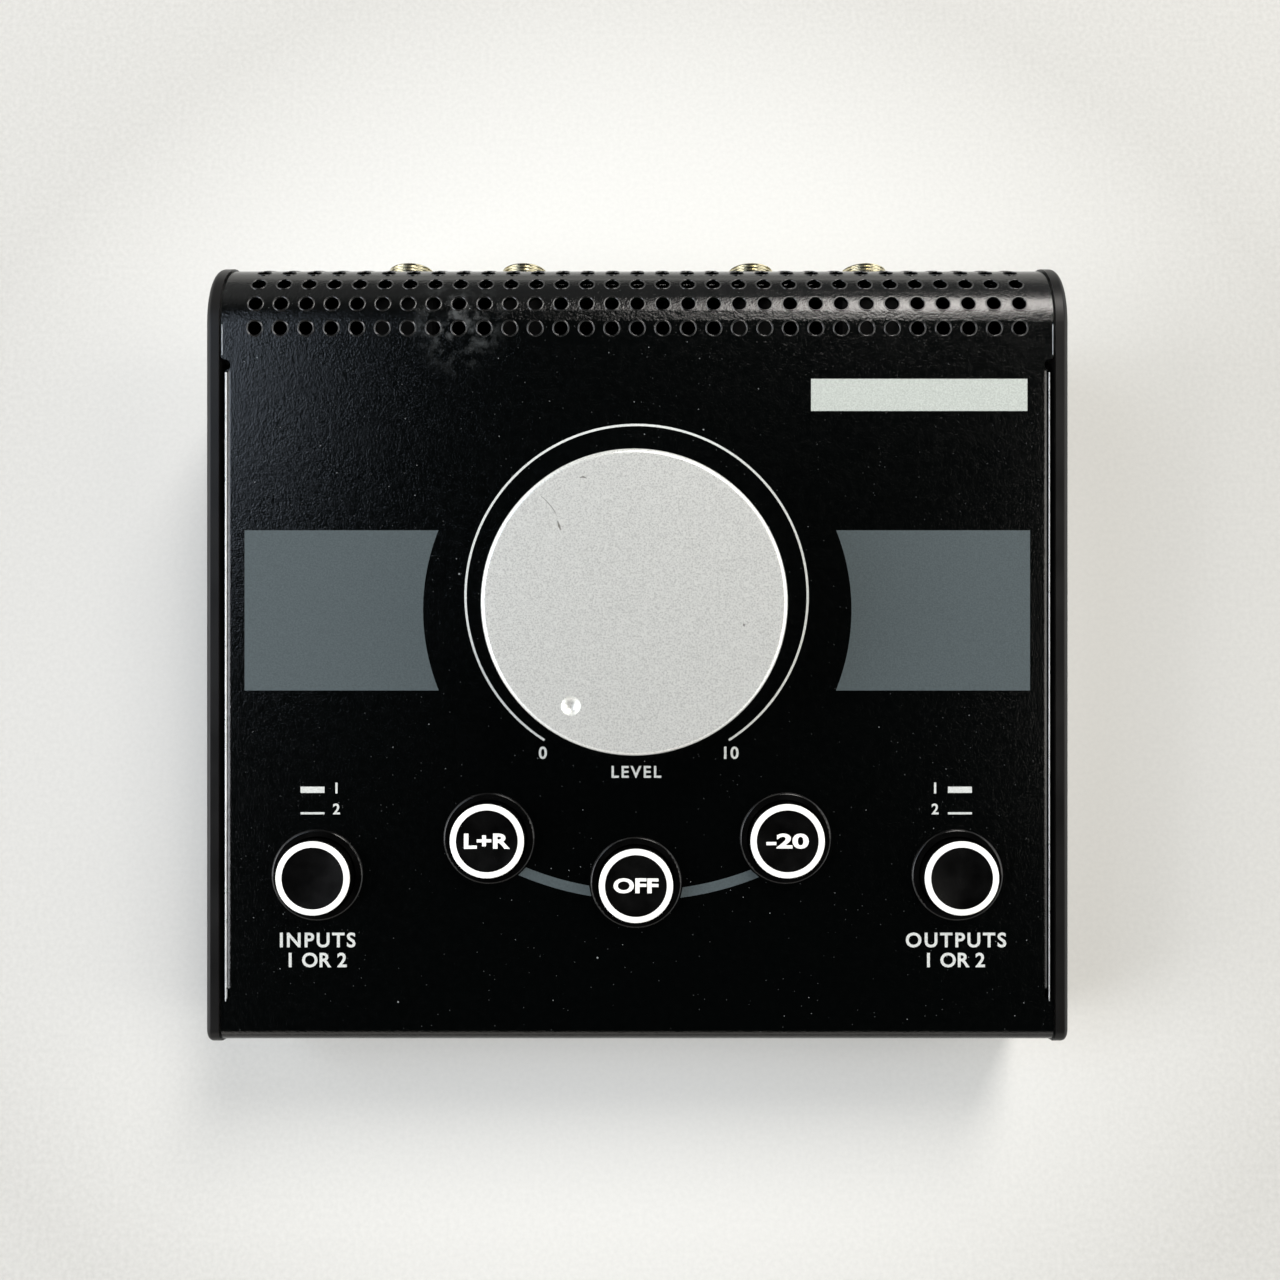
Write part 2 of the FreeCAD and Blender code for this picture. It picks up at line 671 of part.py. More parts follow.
def knob_hub():
    """The moulded insert that grips the shaft and fills the cap: plate, skirt, ribs and boss."""
    outer = KNOB_DIAMETER / 2 - KNOB_WALL
    top = KNOB_TOP - KNOB_WALL
    plate_low = top - HUB_PLATE
    skirt_low = plate_low - HUB_SKIRT
    pieces = [
        tube(outer, 0, plate_low, top),
        tube(outer, outer - HUB_SKIRT_WALL, skirt_low, plate_low),
        tube(HUB_BOSS_RADIUS, 0, HUB_BOSS_BOTTOM, plate_low),
    ]
    for rib in range(HUB_RIBS):
        wall = block(HUB_BOSS_RADIUS - 1, outer - 1, -HUB_RIB / 2, HUB_RIB / 2, skirt_low, plate_low)
        wall.rotate(V(0, 0, 0), V(0, 0, 1), rib * 360 / HUB_RIBS)
        pieces.append(wall)
    hub = fused(pieces)
    return at_knob(hub.cut(d_rod(HUB_BOSS_BOTTOM - 1, SHAFT_TOP)))


def knob_spring_clip():
    """The split steel band that squeezes the hub's boss on the shaft."""
    low = HUB_BOSS_BOTTOM + CLIP_LOW
    high = HUB_BOSS_BOTTOM + CLIP_HIGH
    band = tube(HUB_BOSS_RADIUS + CLIP, HUB_BOSS_RADIUS, low, high)
    gap = block(HUB_BOSS_RADIUS - 1, HUB_BOSS_RADIUS + 2, -CLIP_SPLIT / 2, CLIP_SPLIT / 2, 0, KNOB_TOP)
    return at_knob(band.cut(gap))


def wafer_low(gang):
    """Height of a track wafer's underside, counted from the deepest gang."""
    return CONTROL_LOW + CONTROL_WALL + WAFER_LIFT + gang * GANG_PITCH


def volume_shaft():
    """The steel shaft, flatted where the knob grips it."""
    low = CONTROL_LOW + CONTROL_WALL + HOLE_SLACK
    flat_low = HUB_BOSS_BOTTOM - 0.5
    shaft = tube(SHAFT_RADIUS, 0, low, flat_low)
    return at_knob(fused([shaft, d_rod(flat_low, SHAFT_TOP)]))


def volume_wipers():
    """One wiper disc for each gang, with its two contact fingers."""
    discs = []
    for gang in range(GANGS):
        low = wafer_low(gang) + WAFER + WIPER_LIFT
        disc = tube(WIPER_RADIUS, SHAFT_RADIUS, low, low + WIPER)
        for side in (-1, 1):
            place = side * FINGER_PLACE
            finger = block(-PIN, PIN, place - PIN, place + PIN, low - WIPER_LIFT / 4, low + WIPER / 2)
            disc = disc.fuse(finger)
        discs.append(disc.removeSplitter())
    return at_knob(Part.makeCompound(discs))


def volume_housing():
    """The control's open-topped housing, standing on the board."""
    half_width = CONTROL_WIDTH / 2
    half_length = CONTROL_LENGTH / 2
    low = CONTROL_LOW
    high = -SHEET - BUSHING_PLATE
    shell = block(-half_width, half_width, -half_length, half_length, low, high)
    inner_x = half_width - CONTROL_WALL
    inner_y = half_length - CONTROL_WALL
    hollow = block(-inner_x, inner_x, -inner_y, inner_y, low + CONTROL_WALL, high + 1)
    shell = shell.cut(hollow)
    for side in (-1, 1):
        place = side * CONTROL_STAND_PLACE
        foot_bar = block(-half_width, half_width, place - 1, place + 1, BOARD_TOP, low)
        shell = shell.fuse(foot_bar)
    return at_knob(shell.removeSplitter())


def volume_tracks():
    """Four carbon track wafers stacked in the housing."""
    inner_x = CONTROL_WIDTH / 2 - CONTROL_WALL
    inner_y = CONTROL_LENGTH / 2 - CONTROL_WALL
    wafers = []
    for gang in range(GANGS):
        low = wafer_low(gang)
        wafer = block(-inner_x, inner_x, -inner_y, inner_y, low, low + WAFER)
        wafers.append(wafer.cut(tube(SHAFT_RADIUS + 3 * HOLE_SLACK, 0, low - 1, low + WAFER + 1)))
    return at_knob(Part.makeCompound(wafers))


def volume_bushing():
    """The threaded bushing on its plate, with the locating tab."""
    half_width = CONTROL_WIDTH / 2
    half_length = CONTROL_LENGTH / 2
    plate_low = -SHEET - BUSHING_PLATE
    plate = block(-half_width, half_width, -half_length, half_length, plate_low, -SHEET)
    barrel = tube(BUSHING_RADIUS, 0, -SHEET, BUSHING_TOP)
    bushing = fused([plate, barrel, locating_tab(0)])
    return at_knob(bushing.cut(tube(SHAFT_RADIUS + SHAFT_SLACK, 0, plate_low - 1, BUSHING_TOP + 1)))


def volume_washer():
    """The flat washer under the control's nut."""
    return at_knob(tube(VOLUME_WASHER_RADIUS, BUSHING_RADIUS, 0, VOLUME_WASHER))


def hexagon(flats, low, high):
    """A hexagonal bar, measured across its flats."""
    corner = flats / math.sqrt(3)
    points = [V(corner * math.cos(math.radians(60 * k)), corner * math.sin(math.radians(60 * k)), low)
              for k in range(6)]
    return Part.Face(Part.makePolygon(points + points[:1])).extrude(V(0, 0, high - low))


def volume_nut():
    """The thin hexagon nut that clamps the control to the panel."""
    high = VOLUME_WASHER + VOLUME_NUT
    nut = hexagon(VOLUME_NUT_FLATS, VOLUME_WASHER, high)
    return at_knob(nut.cut(tube(BUSHING_RADIUS, 0, 0, high + 1)))


def volume_pins():
    """Three bent pins for each gang, from the housing down through the board."""
    face = -CONTROL_LENGTH / 2
    pins = []
    for gang in range(GANGS):
        reach = face - VOLUME_PIN_ROW * (gang + 1)
        level = wafer_low(gang)
        for x in (-VOLUME_PIN_PITCH, 0, VOLUME_PIN_PITCH):
            across = block(x - PIN / 2, x + PIN / 2, reach - PIN, face, level, level + PIN)
            down = block(x - PIN / 2, x + PIN / 2, reach - PIN, reach, BOARD_UNDER - PIN_REACH, level)
            pins.append(fused([across, down]))
    return at_knob(Part.makeCompound(pins))


# Push buttons

def button_cap(x, t):
    """A hollow round cap: dished top, keeper flange, ribs and the socket for its plunger."""
    roof = BUTTON_TOP - BUTTON_ROOF
    keeper_top = -BEZEL_DEPTH - KEEPER_GAP
    keeper_low = keeper_top - KEEPER
    shell = tube(BUTTON_RADIUS, 0, keeper_low, BUTTON_TOP)
    rim = edges_where(shell, lambda box: near(box.ZMin, BUTTON_TOP))
    shell = shell.makeFillet(BUTTON_EDGE, rim)
    shell = shell.fuse(tube(BEZEL_COLLAR, 0, keeper_low, keeper_top))
    inner = BUTTON_RADIUS - BUTTON_WALL
    shell = shell.cut(tube(inner, 0, keeper_low - 1, roof))
    dish_radius = BUTTON_RADIUS - BUTTON_DISH_INSET
    ball = (dish_radius ** 2 + BUTTON_DISH ** 2) / (2 * BUTTON_DISH)
    shell = shell.cut(Part.makeSphere(ball, V(0, 0, BUTTON_TOP - BUTTON_DISH + ball)))
    stem = tube(STEM_RADIUS, 0, COLLAR_LOW + STEM_RISE, roof)
    reach = inner + BUTTON_WALL / 4
    half_rib = BUTTON_RIB / 2
    ribs = [block(-reach, reach, -half_rib, half_rib, keeper_top, roof),
            block(-half_rib, half_rib, -reach, reach, keeper_top, roof)]
    cap = fused([shell, stem] + ribs)
    half = PLUNGER / 2
    socket = block(-half, half, -half, half, COLLAR_LOW, SOCKET_TOP)
    return on_panel(moved(cap.cut(socket), x, t))


def button_plunger(x, t):
    """The square plunger with the collar that the spring pushes on."""
    half = PLUNGER / 2
    bar = block(-half, half, -half, half, PLUNGER_LOW, SOCKET_TOP)
    collar = tube(COLLAR_RADIUS, 0, COLLAR_LOW, COLLAR_LOW + COLLAR)
    return on_panel(moved(fused([bar, collar]), x, t))


def switch_housing(x, t):
    """The latching switch's housing, with the square well for its plunger."""
    half = SWITCH_SIZE / 2
    body = block(-half, half, -half, half, BOARD_TOP, BOARD_TOP + SWITCH_HEIGHT)
    upright = edges_where(body, lambda box: box.ZLength > 1)
    body = body.makeChamfer(SWITCH_CORNER, upright)
    well = PLUNGER / 2 + SWITCH_WELL_GAP
    top = BOARD_TOP + SWITCH_HEIGHT + 1
    body = body.cut(block(-well, well, -well, well, BOARD_TOP + SWITCH_FLOOR, top))
    return on_panel(moved(body, x, t))


def button_bezels():
    """Five rounded rings that line the button holes."""
    rings = []
    bore = BUTTON_RADIUS + BEZEL_BORE_GAP
    for name, x, t in button_places():
        lip = tube(BEZEL_RADIUS, 0, 0, BEZEL_HEIGHT)
        rim = edges_where(lip, lambda box: near(box.ZMin, BEZEL_HEIGHT))
        lip = lip.makeFillet(BEZEL_ROUND, rim)
        ring = fused([lip, tube(BEZEL_COLLAR, 0, -BEZEL_DEPTH, 0)])
        ring = ring.cut(tube(bore, 0, -BEZEL_DEPTH - 1, BEZEL_HEIGHT + 1))
        rings.append(on_panel(moved(ring, x, t)))
    return Part.makeCompound(rings)


def arc_from(start, tangent, end):
    """The arc that leaves start along tangent and meets end."""
    chord = end - start
    length = chord.Length
    along = chord * (1 / length)
    side = tangent - along * tangent.dot(along)
    side.normalize()
    half_turn = math.acos(min(1, tangent.dot(along)))
    middle = start + chord * 0.5 + side * (length / 2 * math.tan(half_turn / 2))
    return Part.Arc(start, middle, end).toShape()


def coil_path(radius, low, high, turns):
    """A rising coil of tangent arcs, two to each quarter turn."""
    quarters = 4 * turns
    rise = (high - low) / quarters
    points = []
    tangents = []
    for k in range(quarters + 1):
        turn = math.radians(90 * k)
        points.append(V(radius * math.cos(turn), radius * math.sin(turn), low + rise * k))
        tangent = V(-math.sin(turn), math.cos(turn), rise / (radius * math.pi / 2))
        tangents.append(tangent.normalize())
    edges = []
    for k in range(quarters):
        start, end = points[k], points[k + 1]
        first, last = tangents[k], tangents[k + 1]
        chord = end - start
        spread = 1 - first.dot(last)
        lean = chord.dot(first + last)
        reach = (math.sqrt(lean ** 2 + 2 * spread * chord.dot(chord)) - lean) / (2 * spread)
        joint = (start + end + (first - last) * reach) * 0.5
        edges.append(arc_from(start, first, joint))
        edges.append(arc_from(end, last * -1, joint))
    return Part.Wire(edges), points[0], tangents[0]


def return_springs():
    """Five coil springs, each between a switch housing and its plunger's collar."""
    low = BOARD_TOP + SWITCH_HEIGHT + SPRING_WIRE / 2
    high = COLLAR_LOW - SPRING_WIRE / 2
    path, start, tangent = coil_path(SPRING_RADIUS, low, high, SPRING_TURNS)
    section = Part.Wire(Part.makeCircle(SPRING_WIRE / 2, start, tangent))
    coil = path.makePipeShell([section], True, False)
    return Part.makeCompound([on_panel(moved(coil, x, t)) for name, x, t in button_places()])


def switch_pins():
    """Six pins under each switch, through the board."""
    pins = []
    for name, x, t in button_places():
        for across in (-SWITCH_PIN_PITCH, SWITCH_PIN_PITCH):
            for along in (-SWITCH_PIN_PITCH, 0, SWITCH_PIN_PITCH):
                pins.append(block(x + across - PIN / 2, x + across + PIN / 2, t + along - PIN / 2,
                                  t + along + PIN / 2, BOARD_UNDER - PIN_REACH, BOARD_TOP))
    return on_panel(Part.makeCompound(pins))


# Boards

def control_board(pins):
    """The board that carries the switches and the volume control, hung under the panel."""
    board = block(-BOARD_HALF_WIDTH, BOARD_HALF_WIDTH, BOARD_FRONT, BOARD_REAR, BOARD_UNDER, BOARD_TOP)
    cutters = [tube(SCREW_RADIUS + BOARD_HOLE_GAP, 0, BOARD_UNDER - 1, BOARD_TOP + 1, x, t)
               for x, t in standoff_places()]
    board = on_panel(board.cut(Part.makeCompound(cutters)))
    for group in pins:
        board = board.cut(group)
    return board


def board_standoffs():
    """Four hexagonal standoffs clinched to the underside of the cover."""
    pieces = []
    for x, t in standoff_places():
        bar = moved(hexagon(STANDOFF_FLATS, BOARD_TOP, -SHEET), x, t)
        pieces.append(bar.cut(tube(SCREW_RADIUS, 0, BOARD_TOP - 1, BOARD_TOP + STANDOFF_HOLE, x, t)))
    return on_panel(Part.makeCompound(pieces))


def board_screws():
    """Four screws from below through the board into the standoffs."""
    screws = []
    for x, t in standoff_places():
        screw = pan_screw(BOARD_SCREW_LENGTH)
        screw.rotate(V(0, 0, 0), V(1, 0, 0), 180)
        screws.append(moved(screw, x, t, BOARD_UNDER))
    return on_panel(Part.makeCompound(screws))


def pad_resistors():
    """Eight resistors of the dim pad and the mono sum, on top of the board."""
    bodies = []
    for side in (-1, 1):
        for number in range(4):
            x = side * (RESISTOR_X + RESISTOR_PITCH * number)
            half = RESISTOR_WIDTH / 2
            top = BOARD_TOP + RESISTOR_HEIGHT
            bodies.append(block(x - half, x + half, RESISTOR_FRONT, RESISTOR_REAR, BOARD_TOP, top))
    return on_panel(Part.makeCompound(bodies))


# Rear jacks

def rear_rod(radius, y0, y1, x, z):
    """A round rod along the depth of the unit."""
    return Part.makeCylinder(radius, y1 - y0, V(x, y0, z), V(0, 1, 0))


def jack_body(x, z):
    """A jack's moulded body with the hole that takes the plug."""
    rear = JACK_FRONT_Y + JACK_LENGTH
    body = block(x - JACK_WIDTH / 2, x + JACK_WIDTH / 2, JACK_FRONT_Y, rear,
                 z - JACK_HEIGHT / 2, z + JACK_HEIGHT / 2)
    long_edges = edges_where(body, lambda box: box.YLength > 1)
    body = body.makeChamfer(JACK_CORNER, long_edges)
    nose_end = REAR_PANEL_Y + JACK_REACH
    return body.cut(rear_rod(JACK_BORE, nose_end - JACK_PLUG_DEPTH, rear + 1, x, z))


def jack_sleeves():
    """Eight metal sleeves: inner flange, threaded nose and plug bore."""
    sleeves = []
    inner_y = REAR_PANEL_Y - SHEET
    nose_end = REAR_PANEL_Y + JACK_REACH
    for name, x, z in jack_places():
        flange = rear_rod(JACK_THREAD + SLEEVE_FLANGE_RIM, inner_y - SLEEVE_FLANGE, inner_y, x, z)
        nose = rear_rod(JACK_THREAD, inner_y - SLEEVE_FLANGE, nose_end, x, z)
        rim = edges_where(nose, lambda box: near(box.YMin, nose_end))
        nose = nose.makeChamfer(SLEEVE_CHAMFER, rim)
        sleeve = fused([flange, nose])
        sleeves.append(sleeve.cut(rear_rod(JACK_BORE, inner_y - SLEEVE_FLANGE - 1, nose_end + 1, x, z)))
    return Part.makeCompound(sleeves)


def jack_washers():
    """Eight flat washers on the rear panel."""
    rings = []
    for name, x, z in jack_places():
        ring = rear_rod(JACK_WASHER_RADIUS, REAR_PANEL_Y, REAR_PANEL_Y + WASHER, x, z)
        rings.append(ring.cut(rear_rod(JACK_THREAD, 0, BODY_WIDTH, x, z)))
    return Part.makeCompound(rings)


def jack_nuts():
    """Eight round nuts with a rounded shoulder and four spanner slots."""
    low = REAR_PANEL_Y + WASHER
    high = low + NUT_HEIGHT
    nuts = []
    for name, x, z in jack_places():
        nut = rear_rod(NUT_RADIUS, low, high, x, z)
        shoulder = edges_where(nut, lambda box: near(box.YMin, high))
        nut = nut.makeFillet(NUT_ROUND, shoulder)
        nut = nut.cut(rear_rod(JACK_THREAD, 0, BODY_WIDTH, x, z))
        for turn in range(2):
            half = NUT_SLOT_WIDTH / 2
            slot = block(x - half, x + half, high - NUT_SLOT_DEPTH, high + 1,
                         z - 2 * NUT_RADIUS, z + 2 * NUT_RADIUS)
            slot.rotate(V(x, 0, z), V(0, 1, 0), 90 * turn)
            nut = nut.cut(slot)
        nuts.append(nut)
    return Part.makeCompound(nuts)


def jack_pins():
    """Six pins at the inner end of each jack, through the jack board."""
    pins = []
    for name, x, z in jack_places():
        for across in (-JACK_PIN_ACROSS, 0, JACK_PIN_ACROSS):
            for up in (-JACK_PIN_UP, JACK_PIN_UP):
                pins.append(block(x + across - PIN / 2, x + across + PIN / 2,
                                  JACK_FRONT_Y - BOARD - PIN_REACH, JACK_FRONT_Y,
                                  z + up - PIN / 2, z + up + PIN / 2))
    return Part.makeCompound(pins)


def jack_board(pins):
    """The upright board that joins the eight jacks."""
    reach = JACK_INNER_X + JACK_PITCH + JACK_WIDTH / 2 + JACK_BOARD_SIDE
    low = JACK_LOWER_Z - JACK_HEIGHT / 2 - JACK_BOARD_LOW
    high = JACK_UPPER_Z + JACK_HEIGHT / 2 + JACK_BOARD_HIGH
    board = block(-reach, reach, JACK_FRONT_Y - BOARD, JACK_FRONT_Y, low, high)
    return board.cut(pins)


# Ribbon cable and headers

def control_header():
    """The header under the control board."""
    half = HEADER_SIZE / 2
    body = block(-HEADER_WIDTH / 2, HEADER_WIDTH / 2, CONTROL_HEADER_T - half, CONTROL_HEADER_T + half,
                 BOARD_UNDER - HEADER_SIZE, BOARD_UNDER)
    return on_panel(body)


def jack_header():
    """The header on the front of the jack board."""
    half = HEADER_SIZE / 2
    rear = JACK_FRONT_Y - BOARD
    return block(-HEADER_WIDTH / 2, HEADER_WIDTH / 2, rear - HEADER_SIZE, rear,
                 JACK_HEADER_Z - half, JACK_HEADER_Z + half)


def rounded_path(points, radius):
    """Straight runs joined by tangent arcs of one radius, in the side view."""
    edges = []
    start = points[0]
    for before, corner, after in zip(points, points[1:], points[2:]):
        back = (before - corner).normalize()
        ahead = (after - corner).normalize()
        half_angle = back.getAngle(ahead) / 2
        setback = radius / math.tan(half_angle)
        bisector = (back + ahead).normalize()
        centre = corner + bisector * (radius / math.sin(half_angle))
        first = corner + back * setback
        last = corner + ahead * setback
        edges.append(segment(start, first))
        edges.append(Part.Arc(first, centre - bisector * radius, last).toShape())
        start = last
    edges.append(segment(start, points[-1]))
    return Part.Wire(edges)


def ribbon_cable():
    """The flat cable from the control board's header, down and back to the jack board's."""
    half = HEADER_SIZE / 2
    start = panel_point(0, CONTROL_HEADER_T + half, BOARD_UNDER - half)
    end = V(0, JACK_FRONT_Y - BOARD - HEADER_SIZE, JACK_HEADER_Z)
    ahead = V(0, math.cos(SLOPE), math.sin(SLOPE))
    first = start + ahead * ((end.y - start.y) / 2 / math.cos(SLOPE))
    second = V(0, first.y, end.z)
    path = rounded_path([start, first, second, end], RIBBON_BEND)
    across = V(0, -math.sin(SLOPE), math.cos(SLOPE)) * (RIBBON_THICK / 2)
    side = V(RIBBON_WIDTH / 2, 0, 0)
    corners = [start - side - across, start + side - across, start + side + across, start - side + across]
    section = Part.makePolygon(corners + corners[:1])
    return path.makePipeShell([section], True, False)


def save(name, shape):
    """Write one piece, after a check that each of its solids is sound."""
    sound = all(solid.isValid() and solid.Volume > 0 for solid in shape.Solids)
    if not shape.Solids or not sound:
        raise ValueError("piece " + name + " is not a sound solid")
    shape.exportStep("parts/" + name + ".step")
    print(name, len(shape.Solids), round(shape.Volume, 1))


def main():
    """Make every piece and write it to its own file."""
    cheek = right_cheek()
    control_pins = volume_pins()
    under_pins = switch_pins()
    rear_pins = jack_pins()
    save("top_cover", top_cover())
    save("base_tray", base_tray())
    save("right_cheek", cheek)
    save("left_cheek", mirrored(cheek))
    save("cheek_screws", cheek_screws())
    for name, x, y in foot_places():
        save(name, foot(x, y))
    save("foot_screws", foot_screws())
    save("knob_cap", knob_cap())
    save("knob_hub", knob_hub())
    save("knob_spring_clip", knob_spring_clip())
    save("volume_shaft", volume_shaft())
    save("volume_wipers", volume_wipers())
    save("volume_housing", volume_housing())
    save("volume_tracks", volume_tracks())
    save("volume_bushing", volume_bushing())
    save("volume_washer", volume_washer())
    save("volume_nut", volume_nut())
    save("volume_pins", control_pins)
    for name, x, t in button_places():
        save(name + "_cap", button_cap(x, t))
        save(name + "_plunger", button_plunger(x, t))
        save(name + "_switch", switch_housing(x, t))
    save("button_bezels", button_bezels())
    save("return_springs", return_springs())
    save("switch_pins", under_pins)
    save("control_board", control_board([control_pins, under_pins]))
    save("board_standoffs", board_standoffs())
    save("board_screws", board_screws())
    save("pad_resistors", pad_resistors())
    for name, x, z in jack_places():
        save(name, jack_body(x, z))
    save("jack_sleeves", jack_sleeves())
    save("jack_washers", jack_washers())
    save("jack_nuts", jack_nuts())
    save("jack_pins", rear_pins)
    save("jack_board", jack_board(rear_pins))
    save("control_header", control_header())
    save("jack_header", jack_header())
    save("ribbon_cable", ribbon_cable())


main()
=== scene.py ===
"""Looks of a desktop controller for studio monitors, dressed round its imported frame.

Places on the panel are (x, t, n): x to the right, t up the slope from the panel's zero line,
n above its painted face. All lengths are in metres, and MM turns millimetres into them.
"""

import json
import math

import bmesh
import bpy
from bpy.props import FloatProperty, FloatVectorProperty, IntProperty, PointerProperty
from mathutils import Matrix, Vector


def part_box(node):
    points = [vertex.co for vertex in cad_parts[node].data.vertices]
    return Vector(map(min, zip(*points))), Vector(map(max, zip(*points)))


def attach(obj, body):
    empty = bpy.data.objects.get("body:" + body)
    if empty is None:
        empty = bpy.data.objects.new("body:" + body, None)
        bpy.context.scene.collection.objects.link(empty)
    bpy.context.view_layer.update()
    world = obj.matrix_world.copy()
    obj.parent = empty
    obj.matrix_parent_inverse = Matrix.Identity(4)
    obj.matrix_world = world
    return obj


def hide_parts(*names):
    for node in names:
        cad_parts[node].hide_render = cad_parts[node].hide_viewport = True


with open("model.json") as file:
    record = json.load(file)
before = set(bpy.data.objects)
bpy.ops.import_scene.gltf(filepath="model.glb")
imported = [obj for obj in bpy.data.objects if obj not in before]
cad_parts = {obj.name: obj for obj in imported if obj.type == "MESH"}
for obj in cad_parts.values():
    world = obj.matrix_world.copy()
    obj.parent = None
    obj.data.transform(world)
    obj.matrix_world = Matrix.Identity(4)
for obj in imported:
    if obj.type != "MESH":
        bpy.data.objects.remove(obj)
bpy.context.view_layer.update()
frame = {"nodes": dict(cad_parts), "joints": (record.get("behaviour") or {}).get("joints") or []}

bl_info = {
    "name": "Studio monitor controller",
    "version": (1, 0, 0),
    "blender": (4, 5, 0),
    "location": "View3D > Sidebar > Controller",
    "description": "Finishes, prints and fine pieces of a desktop monitor controller",
    "category": "Object",
}

MM = 0.001

# The panel's axes, read from the volume knob's joint
TURN = next(joint for joint in frame["joints"] if joint["name"] == "volume_turn")
NORMAL = Vector(TURN["axis"]).normalized()
RIGHT = Vector((1, 0, 0))
UPHILL = NORMAL.cross(RIGHT)
KNOB_X = -0.6 * MM
KNOB_T = 8.1 * MM
PANEL_ZERO = Vector(TURN["pos_m"]) - RIGHT * KNOB_X - UPHILL * KNOB_T
SLOPE = math.asin(UPHILL.z)
PANEL = Matrix.Translation(PANEL_ZERO) @ Matrix((RIGHT, UPHILL, NORMAL)).transposed().to_4x4()

INK = 0.03 * MM
PRINT_WEIGHT = 0.022
LEGEND_WEIGHT = 0.035
SMOOTH_ANGLE = 0.6
KNOB_STEPS = 256
ROUNDING_STEPS = 8
NOSE_STEPS = 40
THREAD_STEPS = 8
BUTTONS = ("source_select", "monitor_select", "mono", "mute", "dim")
JACKS = tuple(row + "_jack_" + str(number) for row in ("upper", "lower") for number in range(1, 5))


def linear(code):
    """Turn an sRGB hex colour into linear red, green, blue and alpha."""
    channels = [int(code[place:place + 2], 16) / 255 for place in (1, 3, 5)]
    bright = [c / 12.92 if c <= 0.04045 else ((c + 0.055) / 1.055) ** 2.4 for c in channels]
    return (*bright, 1.0)


def length(name, description, millimetres):
    """A length setting, given in millimetres."""
    return FloatProperty(
        name=name, description=description, default=millimetres * MM, unit="LENGTH", precision=5)


def angle(name, description, degrees):
    """An angle setting."""
    return FloatProperty(name=name, description=description, default=math.radians(degrees), unit="ROTATION")


def colour(name, description, code):
    """A colour setting, from its sRGB hex code."""
    return FloatVectorProperty(
        name=name, description=description, default=linear(code), subtype="COLOR", size=4, min=0, max=1)


# Mesh and piece helpers

def add_object(name, data):
    """Put an object with some data into the scene."""
    added = bpy.data.objects.new(name, data)
    bpy.context.scene.collection.objects.link(added)
    return added


def finished_mesh(name, bm):
    """Turn a drawing into a mesh and free the drawing."""
    mesh = bpy.data.meshes.new(name)
    bm.to_mesh(mesh)
    bm.free()
    return mesh


def evaluated_mesh(holder):
    """The plain mesh that an object has after its modifiers."""
    ready = holder.evaluated_get(bpy.context.evaluated_depsgraph_get())
    return bpy.data.meshes.new_from_object(ready)


def add_piece(name, bm, matrix, material, body, smooth=SMOOTH_ANGLE):
    """Make one finished piece from a drawing, in place, riding on its body."""
    bmesh.ops.remove_doubles(bm, verts=bm.verts, dist=1e-7)
    bmesh.ops.transform(bm, matrix=matrix, verts=bm.verts)
    bmesh.ops.recalc_face_normals(bm, faces=bm.faces)
    return add_mesh_piece(name, finished_mesh(name, bm), material, body, smooth)


def add_mesh_piece(name, mesh, material, body, smooth=SMOOTH_ANGLE):
    """Make one finished piece from a mesh that is already in place."""
    mesh.materials.clear()
    mesh.materials.append(material)
    mesh.shade_smooth()
    mesh.set_sharp_from_angle(angle=smooth)
    piece = add_object(name, mesh)
    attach(piece, body)
    return piece


def lathe(profile, steps, closed=False):
    """Turn (radius, height) points about the upright axis. Radius zero makes a pole."""
    bm = bmesh.new()
    rings = []
    for radius, height in profile:
        if radius == 0:
            rings.append([bm.verts.new((0, 0, height))] * steps)
            continue
        turn = [2 * math.pi * step / steps for step in range(steps)]
        rings.append([bm.verts.new((radius * math.cos(a), radius * math.sin(a), height)) for a in turn])
    pairs = list(zip(rings, rings[1:]))
    if closed:
        pairs.append((rings[-1], rings[0]))
    for low, high in pairs:
        for step in range(steps):
            after = (step + 1) % steps
            corners = [low[step], low[after], high[after], high[step]]
            distinct = [corner for place, corner in enumerate(corners) if corner not in corners[:place]]
            bm.faces.new(distinct)
    return bm


def plate(outline, low, high):
    """A thin flat plate with the outline of (x, y) points."""
    bm = bmesh.new()
    bottom = [bm.verts.new((x, y, low)) for x, y in outline]
    top = [bm.verts.new((x, y, high)) for x, y in outline]
    bm.faces.new(bottom[::-1])
    bm.faces.new(top)
    count = len(outline)
    for place in range(count):
        after = (place + 1) % count
        bm.faces.new((bottom[place], bottom[after], top[after], top[place]))
    return bm


def arc_points(centre, radius, start, end, steps):
    """Points on an arc, both ends included."""
    points = []
    for step in range(steps + 1):
        turn = start + (end - start) * step / steps
        points.append((centre[0] + radius * math.cos(turn), centre[1] + radius * math.sin(turn)))
    return points


def arc_strip(centre, inner, outer, start, end, steps=96):
    """The outline of a curved strip between two radii."""
    outside = arc_points(centre, outer, start, end, steps)
    inside = arc_points(centre, inner, end, start, steps)
    return outside + inside


def stroke(points, width):
    """The outline of a thin tapering mark along (x, y) points."""
    left, right = [], []
    last = len(points) - 1
    for place, (x, y) in enumerate(points):
        before = points[max(place - 1, 0)]
        after = points[min(place + 1, last)]
        along = Vector((after[0] - before[0], after[1] - before[1])).normalized()
        half = width * (0.25 + math.sin(math.pi * place / last)) / 2
        left.append((x - along.y * half, y + along.x * half))
        right.append((x + along.y * half, y - along.x * half))
    return left + right[::-1]


